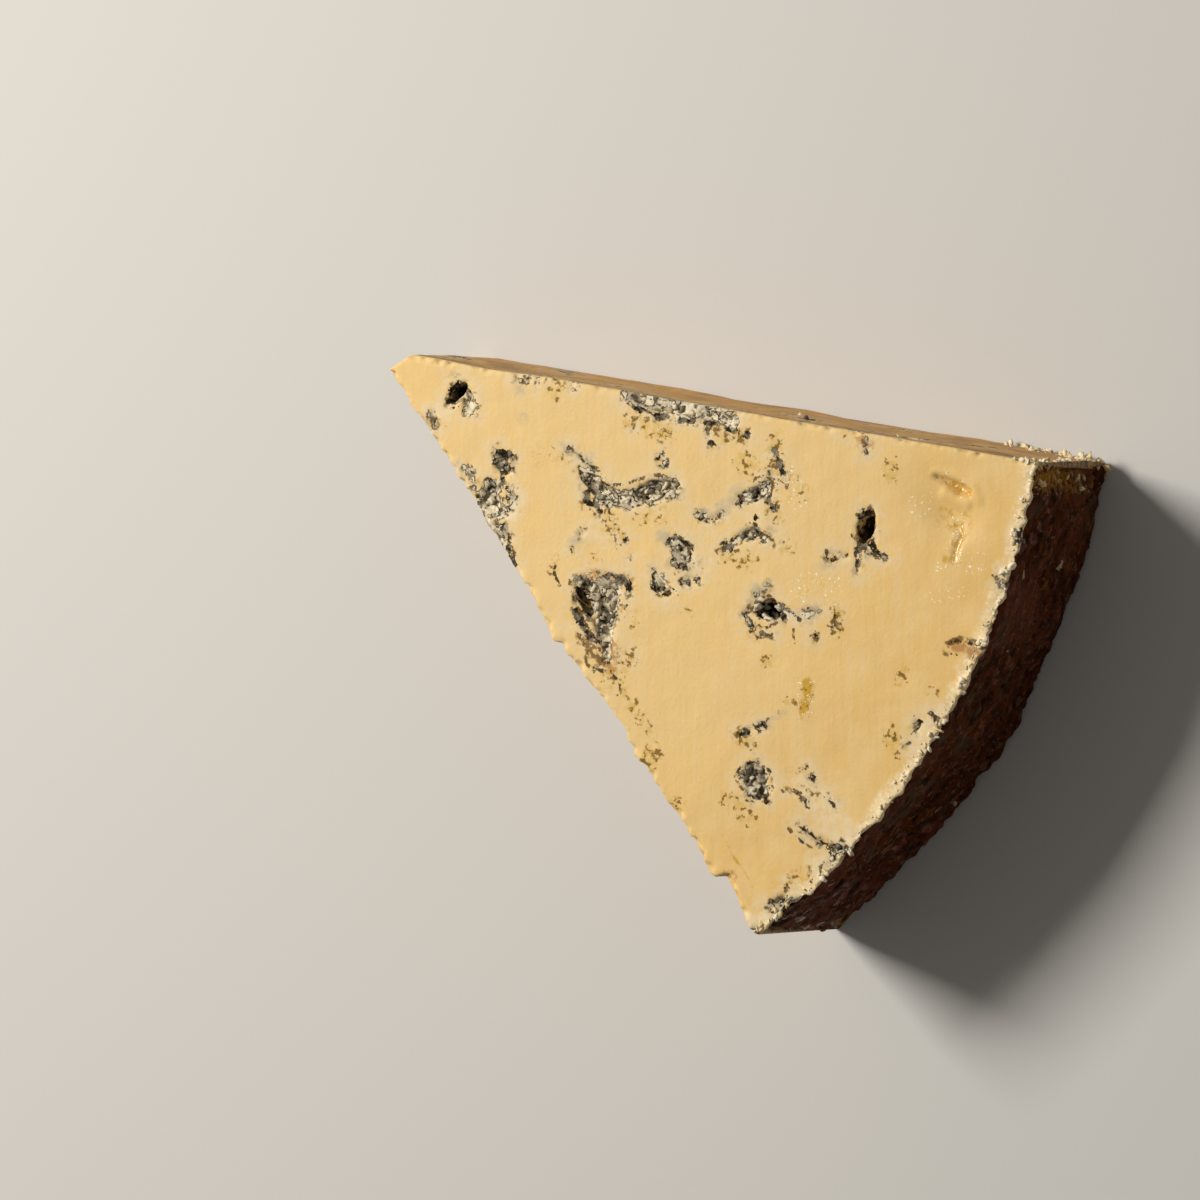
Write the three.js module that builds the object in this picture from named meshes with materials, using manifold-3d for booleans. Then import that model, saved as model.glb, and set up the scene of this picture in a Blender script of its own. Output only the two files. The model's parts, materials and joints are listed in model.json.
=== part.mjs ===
// A wedge of blue cheese with a natural rind, lying on one of its two flat cut faces.
// The wedge is one eighth of a flat disc cut from the wheel. Both flat faces and both straight
// sides are cut through the paste, and only the curved side is rind. It is one solid: the mould
// pockets that open in the cut faces are hollows in it, and the crags of the rind are relief.
// Millimetres, +Z up, +X from the tip to the rind.

import * as THREE from "three";
import { mergeVertices } from "three/addons/utils/BufferGeometryUtils.js";
import Module from "manifold-3d";

// ---- driving dimensions ----
// Positions are measured from the wheel's centre, which is where the two straight sides meet.
const WHEEL_RADIUS = 100;
const HALF_ANGLE = Math.PI / 8;
const THICKNESS = 31;

// The tip of the wedge has crumbled off along a slanting break.
const TIP_LOW = [3.8, -1.2];
const TIP_HIGH = [5.6, 2.3];
const TIP_CRUMBS = { size: 3, depth: 0.4, row: 2 };

// The cut at +Y leans out a little towards the lower face, and both cuts are gently wavy.
const CUT_LEAN = 0.7;
const CORNER_SHARPNESS = 8; // how closely the rind keeps to its radius beside the leaning cut
const CUT_WAVE = { size: 9, depth: 0.3, row: 5.5 };

// Lips of soft paste that the wire dragged over the -Y edge of the upper face.
// from and to are distances along that edge.
const LIPS = [
  { from: 37, to: 46, stands_out: 1.6 },
  { from: 77, to: 83, stands_out: 0.8 },
];
const LIP_HEIGHT = 6;

// The rind is a crust of fused knobs with winding furrows between them, rounded at its two edges.
const RIND_KNOBS = [
  { size: 9, depth: 0.7 },
  { size: 4, depth: 0.65 },
  { size: 2.2, depth: 0.4 },
];
const FURROWS = { size: 14, height: 9, depth: 1.0, narrowness: 7, row: 40 };
const RIND_EDGE = { width: 2.5, rounding: 0.7 };

// ---- how finely the sides are divided ----
const RIND_STEP = 1.35;
const CUT_STEP = 3.4;
const TIP_SEGMENTS = 3;
const ROWS = 18;
const WELD_DISTANCE = 1e-4;

// ---- mould pockets ----
// In the upper face: stations [x, y, half width] along each pocket. deep is the depth below the face.
const UPPER_POCKETS = [
  { deep: 4.5, stations: [[14.6, 0.2, 1.6], [15.9, 2.2, 2.0]] },
  { deep: 1.6, stations: [[12.9, -3.0, 1.0], [14.4, -3.9, 1.1]] },
  { deep: 1.5, stations: [[24.2, -2.6, 1.3], [26.2, -3.9, 1.4]] },
  { deep: 2.0, stations: [[26.2, -6.2, 2.0], [28.2, -9.4, 2.5], [32.4, -12.7, 0.9]] },
  { deep: 2.2, stations: [[36.0, 2.2, 0.8], [40.6, 1.5, 1.6], [44.4, 2.8, 1.9], [47.8, 7.2, 2.1]] },
  { deep: 2.2, stations: [[36.0, 14.2, 1.0], [40.8, 16.5, 1.7], [46.0, 18.2, 1.9], [51.5, 19.4, 1.0]] },
  { deep: 3.4, stations: [[44.4, -11.2, 1.6], [47.6, -11.0, 3.2], [50.4, -14.4, 2.0], [53.4, -17.8, 0.8]] },
  { deep: 1.3, stations: [[53.6, 0.8, 1.5], [55.6, -0.2, 1.5]] },
  { deep: 1.2, stations: [[53.8, -4.6, 1.0], [56.0, -5.0, 1.1]] },
  { deep: 1.3, stations: [[58.6, 11.6, 0.9], [60.4, 14.4, 1.5], [60.6, 16.2, 0.8]] },
  { deep: 1.2, stations: [[60.4, 6.0, 0.8], [62.2, 8.6, 1.3], [65.0, 8.8, 0.8]] },
  { deep: 5.0, stations: [[68.6, -0.2, 2.2], [70.8, 0.8, 2.3]] },
  { deep: 5.5, stations: [[75.6, 19.4, 1.2], [76.0, 16.8, 2.1], [77.4, 13.0, 0.8]] },
  { deep: 1.8, stations: [[79.8, -19.6, 2.7], [81.8, -21.2, 2.7]] },
  { deep: 1.2, stations: [[90.6, -22.4, 0.6], [94.4, -22.0, 1.0], [97.6, -21.4, 1.6]] },
  { deep: 1.6, stations: [[92.2, -30.8, 1.0], [92.2, -33.6, 1.4]] },
];
// A smooth dent where a cavity lies just under the upper face.
const DENT = { x: 85.4, y: 26.2, half_width: 3.4, deep: 0.8 };

// In the other three cut faces the pockets are set out on a grid, each moved by a seeded draw.
const GRID_POCKETS = {
  spacing: 15,
  margin: 5,
  clearance: 1.5,
  least_half_width: 1.0,
  most_half_width: 2.4,
  rarity_of_large: 2, // a higher power leaves fewer large pockets
  least_depth: 0.5, // in half widths
  most_depth: 1.5,
  seed: 11,
};

// Every pocket is a ball with swellings this large, in radii.
const LUMPINESS = 0.22;
const LUMPS_PER_RADIUS = 2;
const LARGE_HALF_WIDTH = 2.2; // round pockets from this size up get the finer ball
const LONG_POCKET_SEGMENTS = 12;
const LONG_POCKET_RINGS = 4; // for each station
const LONG_POCKET_END = 5; // a higher power keeps the round ends shorter
const DENT_DETAIL = 8;

const PASTE_COLOUR = 0xe7c88f;

// ---- repeatable random numbers ----

// A number from 0 to 1 for each whole-numbered point of space.
function lattice(i, j, k) {
  let h = Math.imul(i, 73856093) ^ Math.imul(j, 19349663) ^ Math.imul(k, 83492791);
  h = Math.imul(h ^ (h >>> 13), 1274126177);
  return ((h ^ (h >>> 16)) >>> 0) / 2 ** 32;
}

const eased = (t) => t * t * (3 - 2 * t);
const easedWithin = (t) => eased(THREE.MathUtils.clamp(t, 0, 1));

// Smooth noise from -1 to 1 with one knob to each unit of length.
function noise(x, y, z) {
  const [i, j, k] = [x, y, z].map(Math.floor);
  const [u, v, w] = [x - i, y - j, z - k].map(eased);
  let sum = 0;
  for (const [di, wi] of [[0, 1 - u], [1, u]])
    for (const [dj, wj] of [[0, 1 - v], [1, v]])
      for (const [dk, wk] of [[0, 1 - w], [1, w]])
        sum += wi * wj * wk * lattice(i + di, j + dj, k + dk);
  return 2 * sum - 1;
}

// A generator of numbers from 0 to 1 that starts from a seed.
function drawer(seed) {
  let count = 0;
  return () => {
    count += 1;
    return lattice(seed, count, 0);
  };
}

// ---- the outline at each height ----

// How far out the +Y cut stands at a height, because it leans.
const leanAt = (z) => CUT_LEAN * (1 - z / THICKNESS);

// The point of a straight side at a distance from the wheel's centre, moved outwards.
const onCut = (side, distance, outwards) => [
  distance * Math.cos(HALF_ANGLE) - outwards * Math.sin(HALF_ANGLE),
  side * (distance * Math.sin(HALF_ANGLE) + outwards * Math.cos(HALF_ANGLE)),
];

// How far a straight side stands out from its true plane.
function cutRelief(side, distance, z) {
  const wave = CUT_WAVE.depth * noise(distance / CUT_WAVE.size, side * CUT_WAVE.row, z / CUT_WAVE.size);
  if (side > 0) return wave + leanAt(z);
  const upwards = easedWithin(1 - (THICKNESS - z) / LIP_HEIGHT);
  return LIPS.filter((lip) => distance > lip.from && distance < lip.to).reduce(
    (sum, lip) => sum + lip.stands_out * upwards * eased((distance - lip.from) / (lip.to - lip.from)),
    wave,
  );
}

// How far the rind stands out from the wheel's radius.
function rindRelief(angle, z) {
  const along = angle * WHEEL_RADIUS;
  const knobs = RIND_KNOBS.reduce(
    (sum, { size, depth }) => sum + depth * noise(along / size, z / size, size),
    0,
  );
  const fromFurrow = Math.abs(noise(along / FURROWS.size, z / FURROWS.height, FURROWS.row));
  const furrow = FURROWS.depth * (1 - easedWithin(fromFurrow * FURROWS.narrowness));
  const fromEdge = Math.min(z, THICKNESS - z) / RIND_EDGE.width;
  return knobs - furrow - RIND_EDGE.rounding * (1 - easedWithin(fromEdge));
}

// A straight side from the tip to just short of the rind. Its relief fades out at both ends.
function cutLine(side, tip, z) {
  const steps = Math.round(WHEEL_RADIUS / CUT_STEP);
  const start = Math.hypot(...tip);
  return Array.from({ length: steps }, (_, step) => {
    const distance = THREE.MathUtils.lerp(start, WHEEL_RADIUS, step / steps);
    const fade = Math.min(1, step / 2, (steps - step) / 2);
    return onCut(side, distance, cutRelief(side, distance, z) * fade);
  });
}

// The curved side, from the -Y cut to the +Y cut.
function rindLine(z) {
  const steps = Math.round((2 * HALF_ANGLE * WHEEL_RADIUS) / RIND_STEP);
  return Array.from({ length: steps + 1 }, (_, step) => {
    const angle = HALF_ANGLE * ((2 * step) / steps - 1);
    const turned = angle + ((step / steps) ** CORNER_SHARPNESS * leanAt(z)) / WHEEL_RADIUS;
    const radius = WHEEL_RADIUS + rindRelief(angle, z);
    return [radius * Math.cos(turned), radius * Math.sin(turned)];
  });
}

// The crumbled break, between the two straight sides and from +Y to -Y.
function tipLine(high, low, z) {
  return Array.from({ length: TIP_SEGMENTS - 1 }, (_, i) => {
    const t = (i + 1) / TIP_SEGMENTS;
    const [x, y] = [THREE.MathUtils.lerp(high[0], low[0], t), THREE.MathUtils.lerp(high[1], low[1], t)];
    return [x + TIP_CRUMBS.depth * noise(y / TIP_CRUMBS.size, z / TIP_CRUMBS.size, TIP_CRUMBS.row), y];
  });
}

function outlineAt(z) {
  const low = cutLine(-1, TIP_LOW, z);
  const high = cutLine(1, TIP_HIGH, z);
  return [...low, ...rindLine(z), ...high.toReversed(), ...tipLine(high[0], low[0], z)];
}

// ---- solids ----

const wasm = await Module();
wasm.setup();

function solidFrom(geometry) {
  geometry.deleteAttribute("normal");
  geometry.deleteAttribute("uv");
  const merged = mergeVertices(geometry, WELD_DISTANCE);
  return new wasm.Manifold(
    new wasm.Mesh({
      numProp: 3,
      vertProperties: new Float32Array(merged.attributes.position.array),
      triVerts: new Uint32Array(merged.index.array),
    }),
  );
}

function geometryFrom(solid) {
  const { vertProperties, triVerts } = solid.getMesh();
  const geometry = new THREE.BufferGeometry();
  geometry.setAttribute("position", new THREE.BufferAttribute(vertProperties, 3));
  geometry.setIndex(new THREE.BufferAttribute(triVerts, 1));
  return geometry;
}

// The triangles that fill one outline.
function capOf(outline) {
  return THREE.ShapeUtils.triangulateShape(
    outline.map(([x, y]) => new THREE.Vector2(x, y)),
    [],
  );
}

// The whole wedge before its pockets: rows of the outline stacked from face to face.
function wedgeBody() {
  const heights = Array.from({ length: ROWS + 1 }, (_, row) => (THICKNESS * row) / ROWS);
  const outlines = heights.map(outlineAt);
  const count = outlines[0].length;
  const index = [];
  for (let row = 0; row < ROWS; row += 1)
    for (let i = 0; i < count; i += 1) {
      const [a, b] = [row * count + i, row * count + ((i + 1) % count)];
      index.push(a, b, b + count, a, b + count, a + count);
    }
  for (const [a, b, c] of capOf(outlines[0])) index.push(c, b, a);
  for (const triangle of capOf(outlines[ROWS])) index.push(...triangle.map((i) => i + ROWS * count));
  const positions = outlines.flatMap((outline, row) => outline.flatMap(([x, y]) => [x, y, heights[row]]));
  const geometry = new THREE.BufferGeometry();
  geometry.setAttribute("position", new THREE.BufferAttribute(new Float32Array(positions), 3));
  geometry.setIndex(index);
  return solidFrom(geometry);
}

// Swells and pinches a ball of radius 1, so that no two pockets are alike.
function lumpy(ball, seed) {
  const point = new THREE.Vector3();
  const { position } = ball.attributes;
  for (let i = 0; i < position.count; i += 1) {
    const { x, y, z } = point.fromBufferAttribute(position, i).multiplyScalar(LUMPS_PER_RADIUS);
    const swell = (1 + LUMPINESS * noise(x + seed, y, z)) / LUMPS_PER_RADIUS;
    position.setXYZ(i, x * swell, y * swell, z * swell);
  }
  return ball;
}

// A lumpy ellipsoid that cuts a round pocket. place turns it and moves it.
function roundPocket(half_width, deep, place, seed) {
  const ball = new THREE.IcosahedronGeometry(1, half_width < LARGE_HALF_WIDTH ? 1 : 2);
  lumpy(ball, seed).scale(half_width, half_width, deep);
  return solidFrom(ball.applyMatrix4(place));
}

// A lumpy ball that is stretched along the curve through a pocket's stations and is as wide as
// the pocket there. The curve's third coordinate is the half width.
function longPocket({ deep, stations }, seed) {
  const spine = new THREE.CatmullRomCurve3(stations.map((station) => new THREE.Vector3(...station)));
  const rings = LONG_POCKET_RINGS * stations.length;
  const ball = lumpy(new THREE.SphereGeometry(1, LONG_POCKET_SEGMENTS, rings), seed);
  const { position } = ball.attributes;
  for (let i = 0; i < position.count; i += 1) {
    const along = THREE.MathUtils.clamp((1 - position.getY(i)) / 2, 0, 1);
    const { x, y, z: half_width } = spine.getPoint(along);
    const forward = spine.getTangent(along).setZ(0).normalize();
    const across = half_width * position.getX(i);
    const ahead = half_width * (2 * along - 1) ** LONG_POCKET_END;
    position.setXYZ(
      i,
      x + ahead * forward.x - across * forward.y,
      y + ahead * forward.y + across * forward.x,
      THICKNESS + deep * position.getZ(i),
    );
  }
  return solidFrom(ball);
}

// Each other cut face: the frame of its plane (u along it, v across it, w outwards), its extent
// along v, and whether a point of it is far enough from its edges.
function cutFaces() {
  const { margin } = GRID_POCKETS;
  const straightSide = (sign) => ({
    frame: new THREE.Matrix4().makeBasis(
      new THREE.Vector3(Math.cos(HALF_ANGLE), sign * Math.sin(HALF_ANGLE), 0),
      new THREE.Vector3(0, 0, -sign),
      new THREE.Vector3(-Math.sin(HALF_ANGLE), sign * Math.cos(HALF_ANGLE), 0),
    ),
    across: sign > 0 ? [-THICKNESS, 0] : [0, THICKNESS],
    holds: () => true,
  });
  const lowerFace = {
    frame: new THREE.Matrix4().makeBasis(
      new THREE.Vector3(1, 0, 0),
      new THREE.Vector3(0, -1, 0),
      new THREE.Vector3(0, 0, -1),
    ),
    across: [-WHEEL_RADIUS * Math.sin(HALF_ANGLE), WHEEL_RADIUS * Math.sin(HALF_ANGLE)],
    holds: (u, v) =>
      Math.abs(v) < u * Math.tan(HALF_ANGLE) - margin && Math.hypot(u, v) < WHEEL_RADIUS - margin,
  };
  return [straightSide(1), straightSide(-1), lowerFace];
}

function gridPockets() {
  const { spacing, margin, clearance, seed } = GRID_POCKETS;
  const draw = drawer(seed);
  const moved = (value) => value + (draw() - 0.5) * spacing;
  const cutters = [];
  for (const { frame, across: [low, high], holds } of cutFaces())
    for (let column = 2 * margin; column < WHEEL_RADIUS - margin; column += spacing)
      for (let row = low + margin; row < high; row += spacing) {
        const [u, v] = [moved(column), moved(row)];
        const size = draw() ** GRID_POCKETS.rarity_of_large;
        const half_width = THREE.MathUtils.lerp(
          GRID_POCKETS.least_half_width,
          GRID_POCKETS.most_half_width,
          size,
        );
        const depth = THREE.MathUtils.lerp(GRID_POCKETS.least_depth, GRID_POCKETS.most_depth, draw());
        const room = Math.min(v - low, high - v) - half_width;
        if (room < clearance || !holds(u, v)) continue;
        const place = frame.clone().multiply(new THREE.Matrix4().makeTranslation(u, v, 0));
        cutters.push(roundPocket(half_width, half_width * depth, place, cutters.length));
      }
  return cutters;
}

// A ball that dips into the upper face just as deep as the dent.
function dentCutter() {
  const { x, y, half_width, deep } = DENT;
  const radius = (half_width ** 2 + deep ** 2) / (2 * deep);
  const ball = new THREE.IcosahedronGeometry(radius, DENT_DETAIL);
  return solidFrom(ball.translate(x, y, THICKNESS + radius - deep));
}

// ---- assembly ----

const cutters = [...UPPER_POCKETS.map(longPocket), ...gridPockets(), dentCutter()];
const carved = cutters.reduce((solid, cutter) => solid.subtract(cutter), wedgeBody());

// The part's origin is the middle of its box, on the lower face.
const geometry = geometryFrom(carved);
geometry.computeBoundingBox();
const { min, max } = geometry.boundingBox;
geometry.translate(-(min.x + max.x) / 2, -(min.y + max.y) / 2, -min.z);

const cheese_wedge = new THREE.Mesh(
  geometry,
  new THREE.MeshStandardMaterial({ color: PASTE_COLOUR, roughness: 0.55, metalness: 0 }),
);
cheese_wedge.name = "cheese_wedge";

const part = new THREE.Group();
part.add(cheese_wedge);
export default part;
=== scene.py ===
"""Blue cheese wedge: an eighth of a natural-rind wheel, lying on one of its flat cut faces.

The paste, with its mould pockets and veins, is one modelled body. The rind on the curved side is a
crust of fused granules round it, and loose crumbs lie along the cuts and in the pockets. Lengths are
millimetres from the wheel's centre until a mesh is finished, when it is put in the part's frame.
"""

import json
import logging
import math
from collections.abc import Sequence
from dataclasses import dataclass, field
from enum import Enum

import bmesh
import bpy
import numpy as np
from mathutils import Matrix, Vector
from mathutils.kdtree import KDTree

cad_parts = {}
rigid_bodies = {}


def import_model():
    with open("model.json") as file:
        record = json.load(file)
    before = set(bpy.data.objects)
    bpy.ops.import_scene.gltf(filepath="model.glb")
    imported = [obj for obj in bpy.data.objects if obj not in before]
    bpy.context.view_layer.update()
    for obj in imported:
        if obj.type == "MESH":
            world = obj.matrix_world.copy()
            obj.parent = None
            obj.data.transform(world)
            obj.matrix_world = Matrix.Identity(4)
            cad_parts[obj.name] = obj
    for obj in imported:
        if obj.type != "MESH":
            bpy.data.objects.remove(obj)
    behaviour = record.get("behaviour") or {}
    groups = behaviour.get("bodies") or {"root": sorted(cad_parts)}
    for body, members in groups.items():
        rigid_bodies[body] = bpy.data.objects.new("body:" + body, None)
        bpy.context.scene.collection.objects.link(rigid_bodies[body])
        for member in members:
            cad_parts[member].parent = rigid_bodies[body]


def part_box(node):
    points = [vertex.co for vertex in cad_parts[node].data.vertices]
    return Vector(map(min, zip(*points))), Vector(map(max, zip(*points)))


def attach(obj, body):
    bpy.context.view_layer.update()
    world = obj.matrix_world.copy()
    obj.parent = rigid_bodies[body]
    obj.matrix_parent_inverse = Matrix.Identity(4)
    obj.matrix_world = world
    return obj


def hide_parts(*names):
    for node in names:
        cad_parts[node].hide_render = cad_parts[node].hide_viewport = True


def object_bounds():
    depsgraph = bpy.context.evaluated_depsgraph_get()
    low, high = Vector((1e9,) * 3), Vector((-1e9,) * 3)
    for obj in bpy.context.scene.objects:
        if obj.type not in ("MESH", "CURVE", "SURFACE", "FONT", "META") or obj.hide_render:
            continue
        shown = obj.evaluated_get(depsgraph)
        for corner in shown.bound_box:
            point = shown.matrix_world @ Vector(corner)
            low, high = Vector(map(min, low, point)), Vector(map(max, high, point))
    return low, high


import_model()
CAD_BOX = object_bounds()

log = logging.getLogger("blue_cheese")
MM = 0.001
NODE = "cheese_wedge"
FAR = 9.0  # stands for every distance that is too far to matter
NEAR = 5.0  # how far out from a line distances are measured
STUB = 1e-6  # the length given to a line of one point
Array = np.ndarray
Material = bpy.types.Material
Piece = bpy.types.Object
Socket = bpy.types.NodeSocket
Range = tuple[float, float]
Triple = tuple[float, float, float]


# ---- repeatable random numbers ----


def lattice(i: Array, j: Array, k: Array) -> Array:
    """Gives a number from 0 to 1 for each whole-numbered point of space.

    Args:
        i, j, k: whole-numbered coordinates of the points.

    Returns:
        One number for each point, the same on every run.
    """
    with np.errstate(over="ignore"):
        a, b, c = (np.asarray(n).astype(np.int64).astype(np.uint32) for n in (i, j, k))
        h = a * np.uint32(73856093) ^ b * np.uint32(19349663) ^ c * np.uint32(83492791)
        h = (h ^ (h >> np.uint32(13))) * np.uint32(1274126177)
    return (h ^ (h >> np.uint32(16))).astype(float) / 2**32


def eased(t: Array) -> Array:
    """Runs from 0 to 1 with a soft start and a soft stop, and is flat beyond them."""
    t = np.clip(t, 0.0, 1.0)
    return t * t * (3.0 - 2.0 * t)


def noise(x: Array, y: Array, z: Array) -> Array:
    """Smooth noise from -1 to 1 with one knob to each unit of length.

    Args:
        x, y, z: coordinates, which broadcast together.

    Returns:
        One value for each point.
    """
    x, y, z = np.broadcast_arrays(*(np.asarray(n, dtype=float) for n in (x, y, z)))
    i, j, k = np.floor(x), np.floor(y), np.floor(z)
    u, v, w = eased(x - i), eased(y - j), eased(z - k)
    total = np.zeros(x.shape)
    for di, wi in ((0, 1 - u), (1, u)):
        for dj, wj in ((0, 1 - v), (1, v)):
            for dk, wk in ((0, 1 - w), (1, w)):
                total += wi * wj * wk * lattice(i + di, j + dj, k + dk)
    return 2.0 * total - 1.0


def grain(points: Array, size: float, row: float = 0.0) -> Array:
    """Noise at points with knobs of one size. Each row is a pattern of its own."""
    return noise(points[:, 0] / size + row, points[:, 1] / size, points[:, 2] / size)


@dataclass(frozen=True)
class Knobs:
    """Noise of one size: how wide its knobs are, how far they stand out, and a row of its own."""

    size: float
    depth: float
    row: float = 0.0

    def at(self, points: Array) -> Array:
        """Gives how far each point stands out."""
        return self.depth * grain(points, self.size, self.row)


class Draw:
    """A run of random numbers that starts from a seed."""

    def __init__(self, seed: int, most: int = 30000) -> None:
        """Prepares the run, which holds at most so many numbers."""
        self.numbers = iter(lattice(seed, np.arange(1, most), 0).tolist())

    def __call__(self, low: float = 0.0, high: float = 1.0) -> float:
        """Draws the next number between low and high."""
        return low + (high - low) * next(self.numbers)


# ---- the wedge's form ----


@dataclass(frozen=True)
class Wedge:
    """The driving sizes of the wedge. Its outline is the solid's, and the rind's relief nearly so."""

    radius: float = 100.0
    half_angle: float = math.pi / 8
    thickness: float = 31.0
    tip_low: tuple[float, float] = (3.8, -1.2)
    tip_high: tuple[float, float] = (5.6, 2.3)
    tip_inset: float = 3.68  # the wheel's centre to the box, at the tip
    corner_reach: float = 38.51  # the wheel's centre to the box, at the -Y corner
    lean: float = 0.7  # how far the foot of the +Y side stands out
    side_depth: float = 3.0  # how deep under a straight side its lean and waves reach
    lip_height: float = 6.0
    rind_knobs: tuple[Range, ...] = ((9.0, 0.7), (4.0, 0.45), (2.2, 0.3))  # size and depth
    furrow_length: float = 14.0
    furrow_height: float = 9.0
    furrow_narrowness: float = 7.0
    furrow_depth: float = 0.9
    furrow_row: float = 40.0
    rind_edge: float = 2.0  # the height over which the relief fades at the two edges
    rind_rounding: float = 0.2

    def placement(self) -> Matrix:
        """Places the wedge.

        Returns:
            The matrix from millimetres round the wheel's centre to the part's frame.
        """
        low = Vector(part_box(NODE)[0])
        centre = Vector((low.x - self.tip_inset * MM, low.y + self.corner_reach * MM, low.z))
        return Matrix.Translation(centre) @ Matrix.Scale(MM, 4)

    def rind_relief(self, angle: Array, z: Array) -> Array:
        """How far the rind stands out from the wheel's radius.

        Args:
            angle: the place round the wheel, from the wedge's middle.
            z: the height.

        Returns:
            The relief in millimetres, below 0 in a furrow.
        """
        along = angle * self.radius
        knobs = sum(depth * noise(along / size, z / size, size) for size, depth in self.rind_knobs)
        winding = noise(along / self.furrow_length, z / self.furrow_height, self.furrow_row)
        furrow = 1.0 - eased(self.furrow_narrowness * np.abs(winding))
        edge = eased(np.minimum(z, self.thickness - z) / self.rind_edge)
        return edge * (knobs - self.furrow_depth * furrow) - self.rind_rounding * (1.0 - edge)


WEDGE = Wedge()


@dataclass(frozen=True)
class CutFace:
    """A flat cut face: its directions along, across and out of it, and its level outwards."""

    along: Triple
    across: Triple
    out: Triple
    level: float = 0.0

    def local(self, points: Array) -> Array:
        """Turns points into places along, across and out of the face."""
        return points @ np.array((self.along, self.across, self.out)).T - (0.0, 0.0, self.level)

    def frame(self, u: float, v: float) -> Matrix:
        """Gives the frame of the face at one of its points."""
        turn = Matrix((self.along, self.across, self.out)).transposed().to_4x4()
        return turn @ Matrix.Translation((u, v, self.level))


def leaning(points: Array) -> Array:
    """Gives how far the +Y side's lean carries each point.

    Args:
        points: the points.

    Returns:
        The moves, as rows of x, y and z.
    """
    out = PLUS_SIDE.local(points)[:, 2]
    push = WEDGE.lean * (1.0 - points[:, 2] / WEDGE.thickness) * eased(1.0 + out / WEDGE.side_depth)
    return push[:, None] * np.array(PLUS_SIDE.out)


def straight_side(sign: int) -> CutFace:
    """Gives one straight side, at +Y for 1 and at -Y for -1."""
    cos, sin = math.cos(WEDGE.half_angle), math.sin(WEDGE.half_angle)
    return CutFace((cos, sign * sin, 0.0), (0.0, 0.0, -sign), (-sin, sign * cos, 0.0))


UPPER = CutFace((1, 0, 0), (0, 1, 0), (0, 0, 1), WEDGE.thickness)
LOWER = CutFace((1, 0, 0), (0, -1, 0), (0, 0, -1))
PLUS_SIDE = straight_side(1)
MINUS_SIDE = straight_side(-1)

Route = tuple[Triple, ...]

# Where the knife left the -Y edge of the upper face: along the edge, and out from the cut.
MINUS_EDGE = (
    (28.0, 0.0), (31.0, 0.5), (35.0, 0.2), (37.0, 0.7), (41.0, 0.3), (44.0, 0.9), (47.0, 1.2), (49.2, 1.5),
    (50.2, 0.5), (57.0, 0.6), (60.0, -0.2), (64.0, -0.2), (69.0, 0.4), (74.0, 0.1), (84.0, 0.1), (85.5, 0.6),
    (89.2, 0.9), (90.2, -0.9), (93.0, -0.4), (96.0, 0.4),
)


@dataclass(frozen=True)
class Pocket:
    """A hollow with mould in it.

    route holds places (along, across, half width) on the face, deep is its depth, and fuzz is how
    much of its mould is pale down, from 0 to 1.
    """

    route: Route
    deep: float
    fuzz: float
    face: CutFace = UPPER


@dataclass(frozen=True)
class Vein:
    """A line or spot of mould in the cut. fuzz is how much of it is pale down."""

    route: Route
    fuzz: float = 0.3
    face: CutFace = UPPER


@dataclass(frozen=True)
class Tint:
    """A soft-edged patch of colour: its route, its strength, and the width over which it fades."""

    route: Route
    strength: float = 1.0
    face: CutFace = UPPER
    soft: float = 1.8


@dataclass(frozen=True)
class Crack:
    """A thin dark line in the cut, through places (along, across) on the face."""

    places: tuple[tuple[float, float], ...]
    half_width: float = 0.16
    face: CutFace = UPPER

    def route(self) -> Route:
        """Gives the line with its half width at each place."""
        return tuple((along, across, self.half_width) for along, across in self.places)


class Stain(Enum):
    """The kinds of soft patch, each with an attribute of its own."""

    OLIVE = "olive"
    BLUE = "blue"
    BROWN = "brown"
    WET = "wet"
    RUSSET = "russet"
    AMBER = "amber"
    PALE = "pale"


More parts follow.
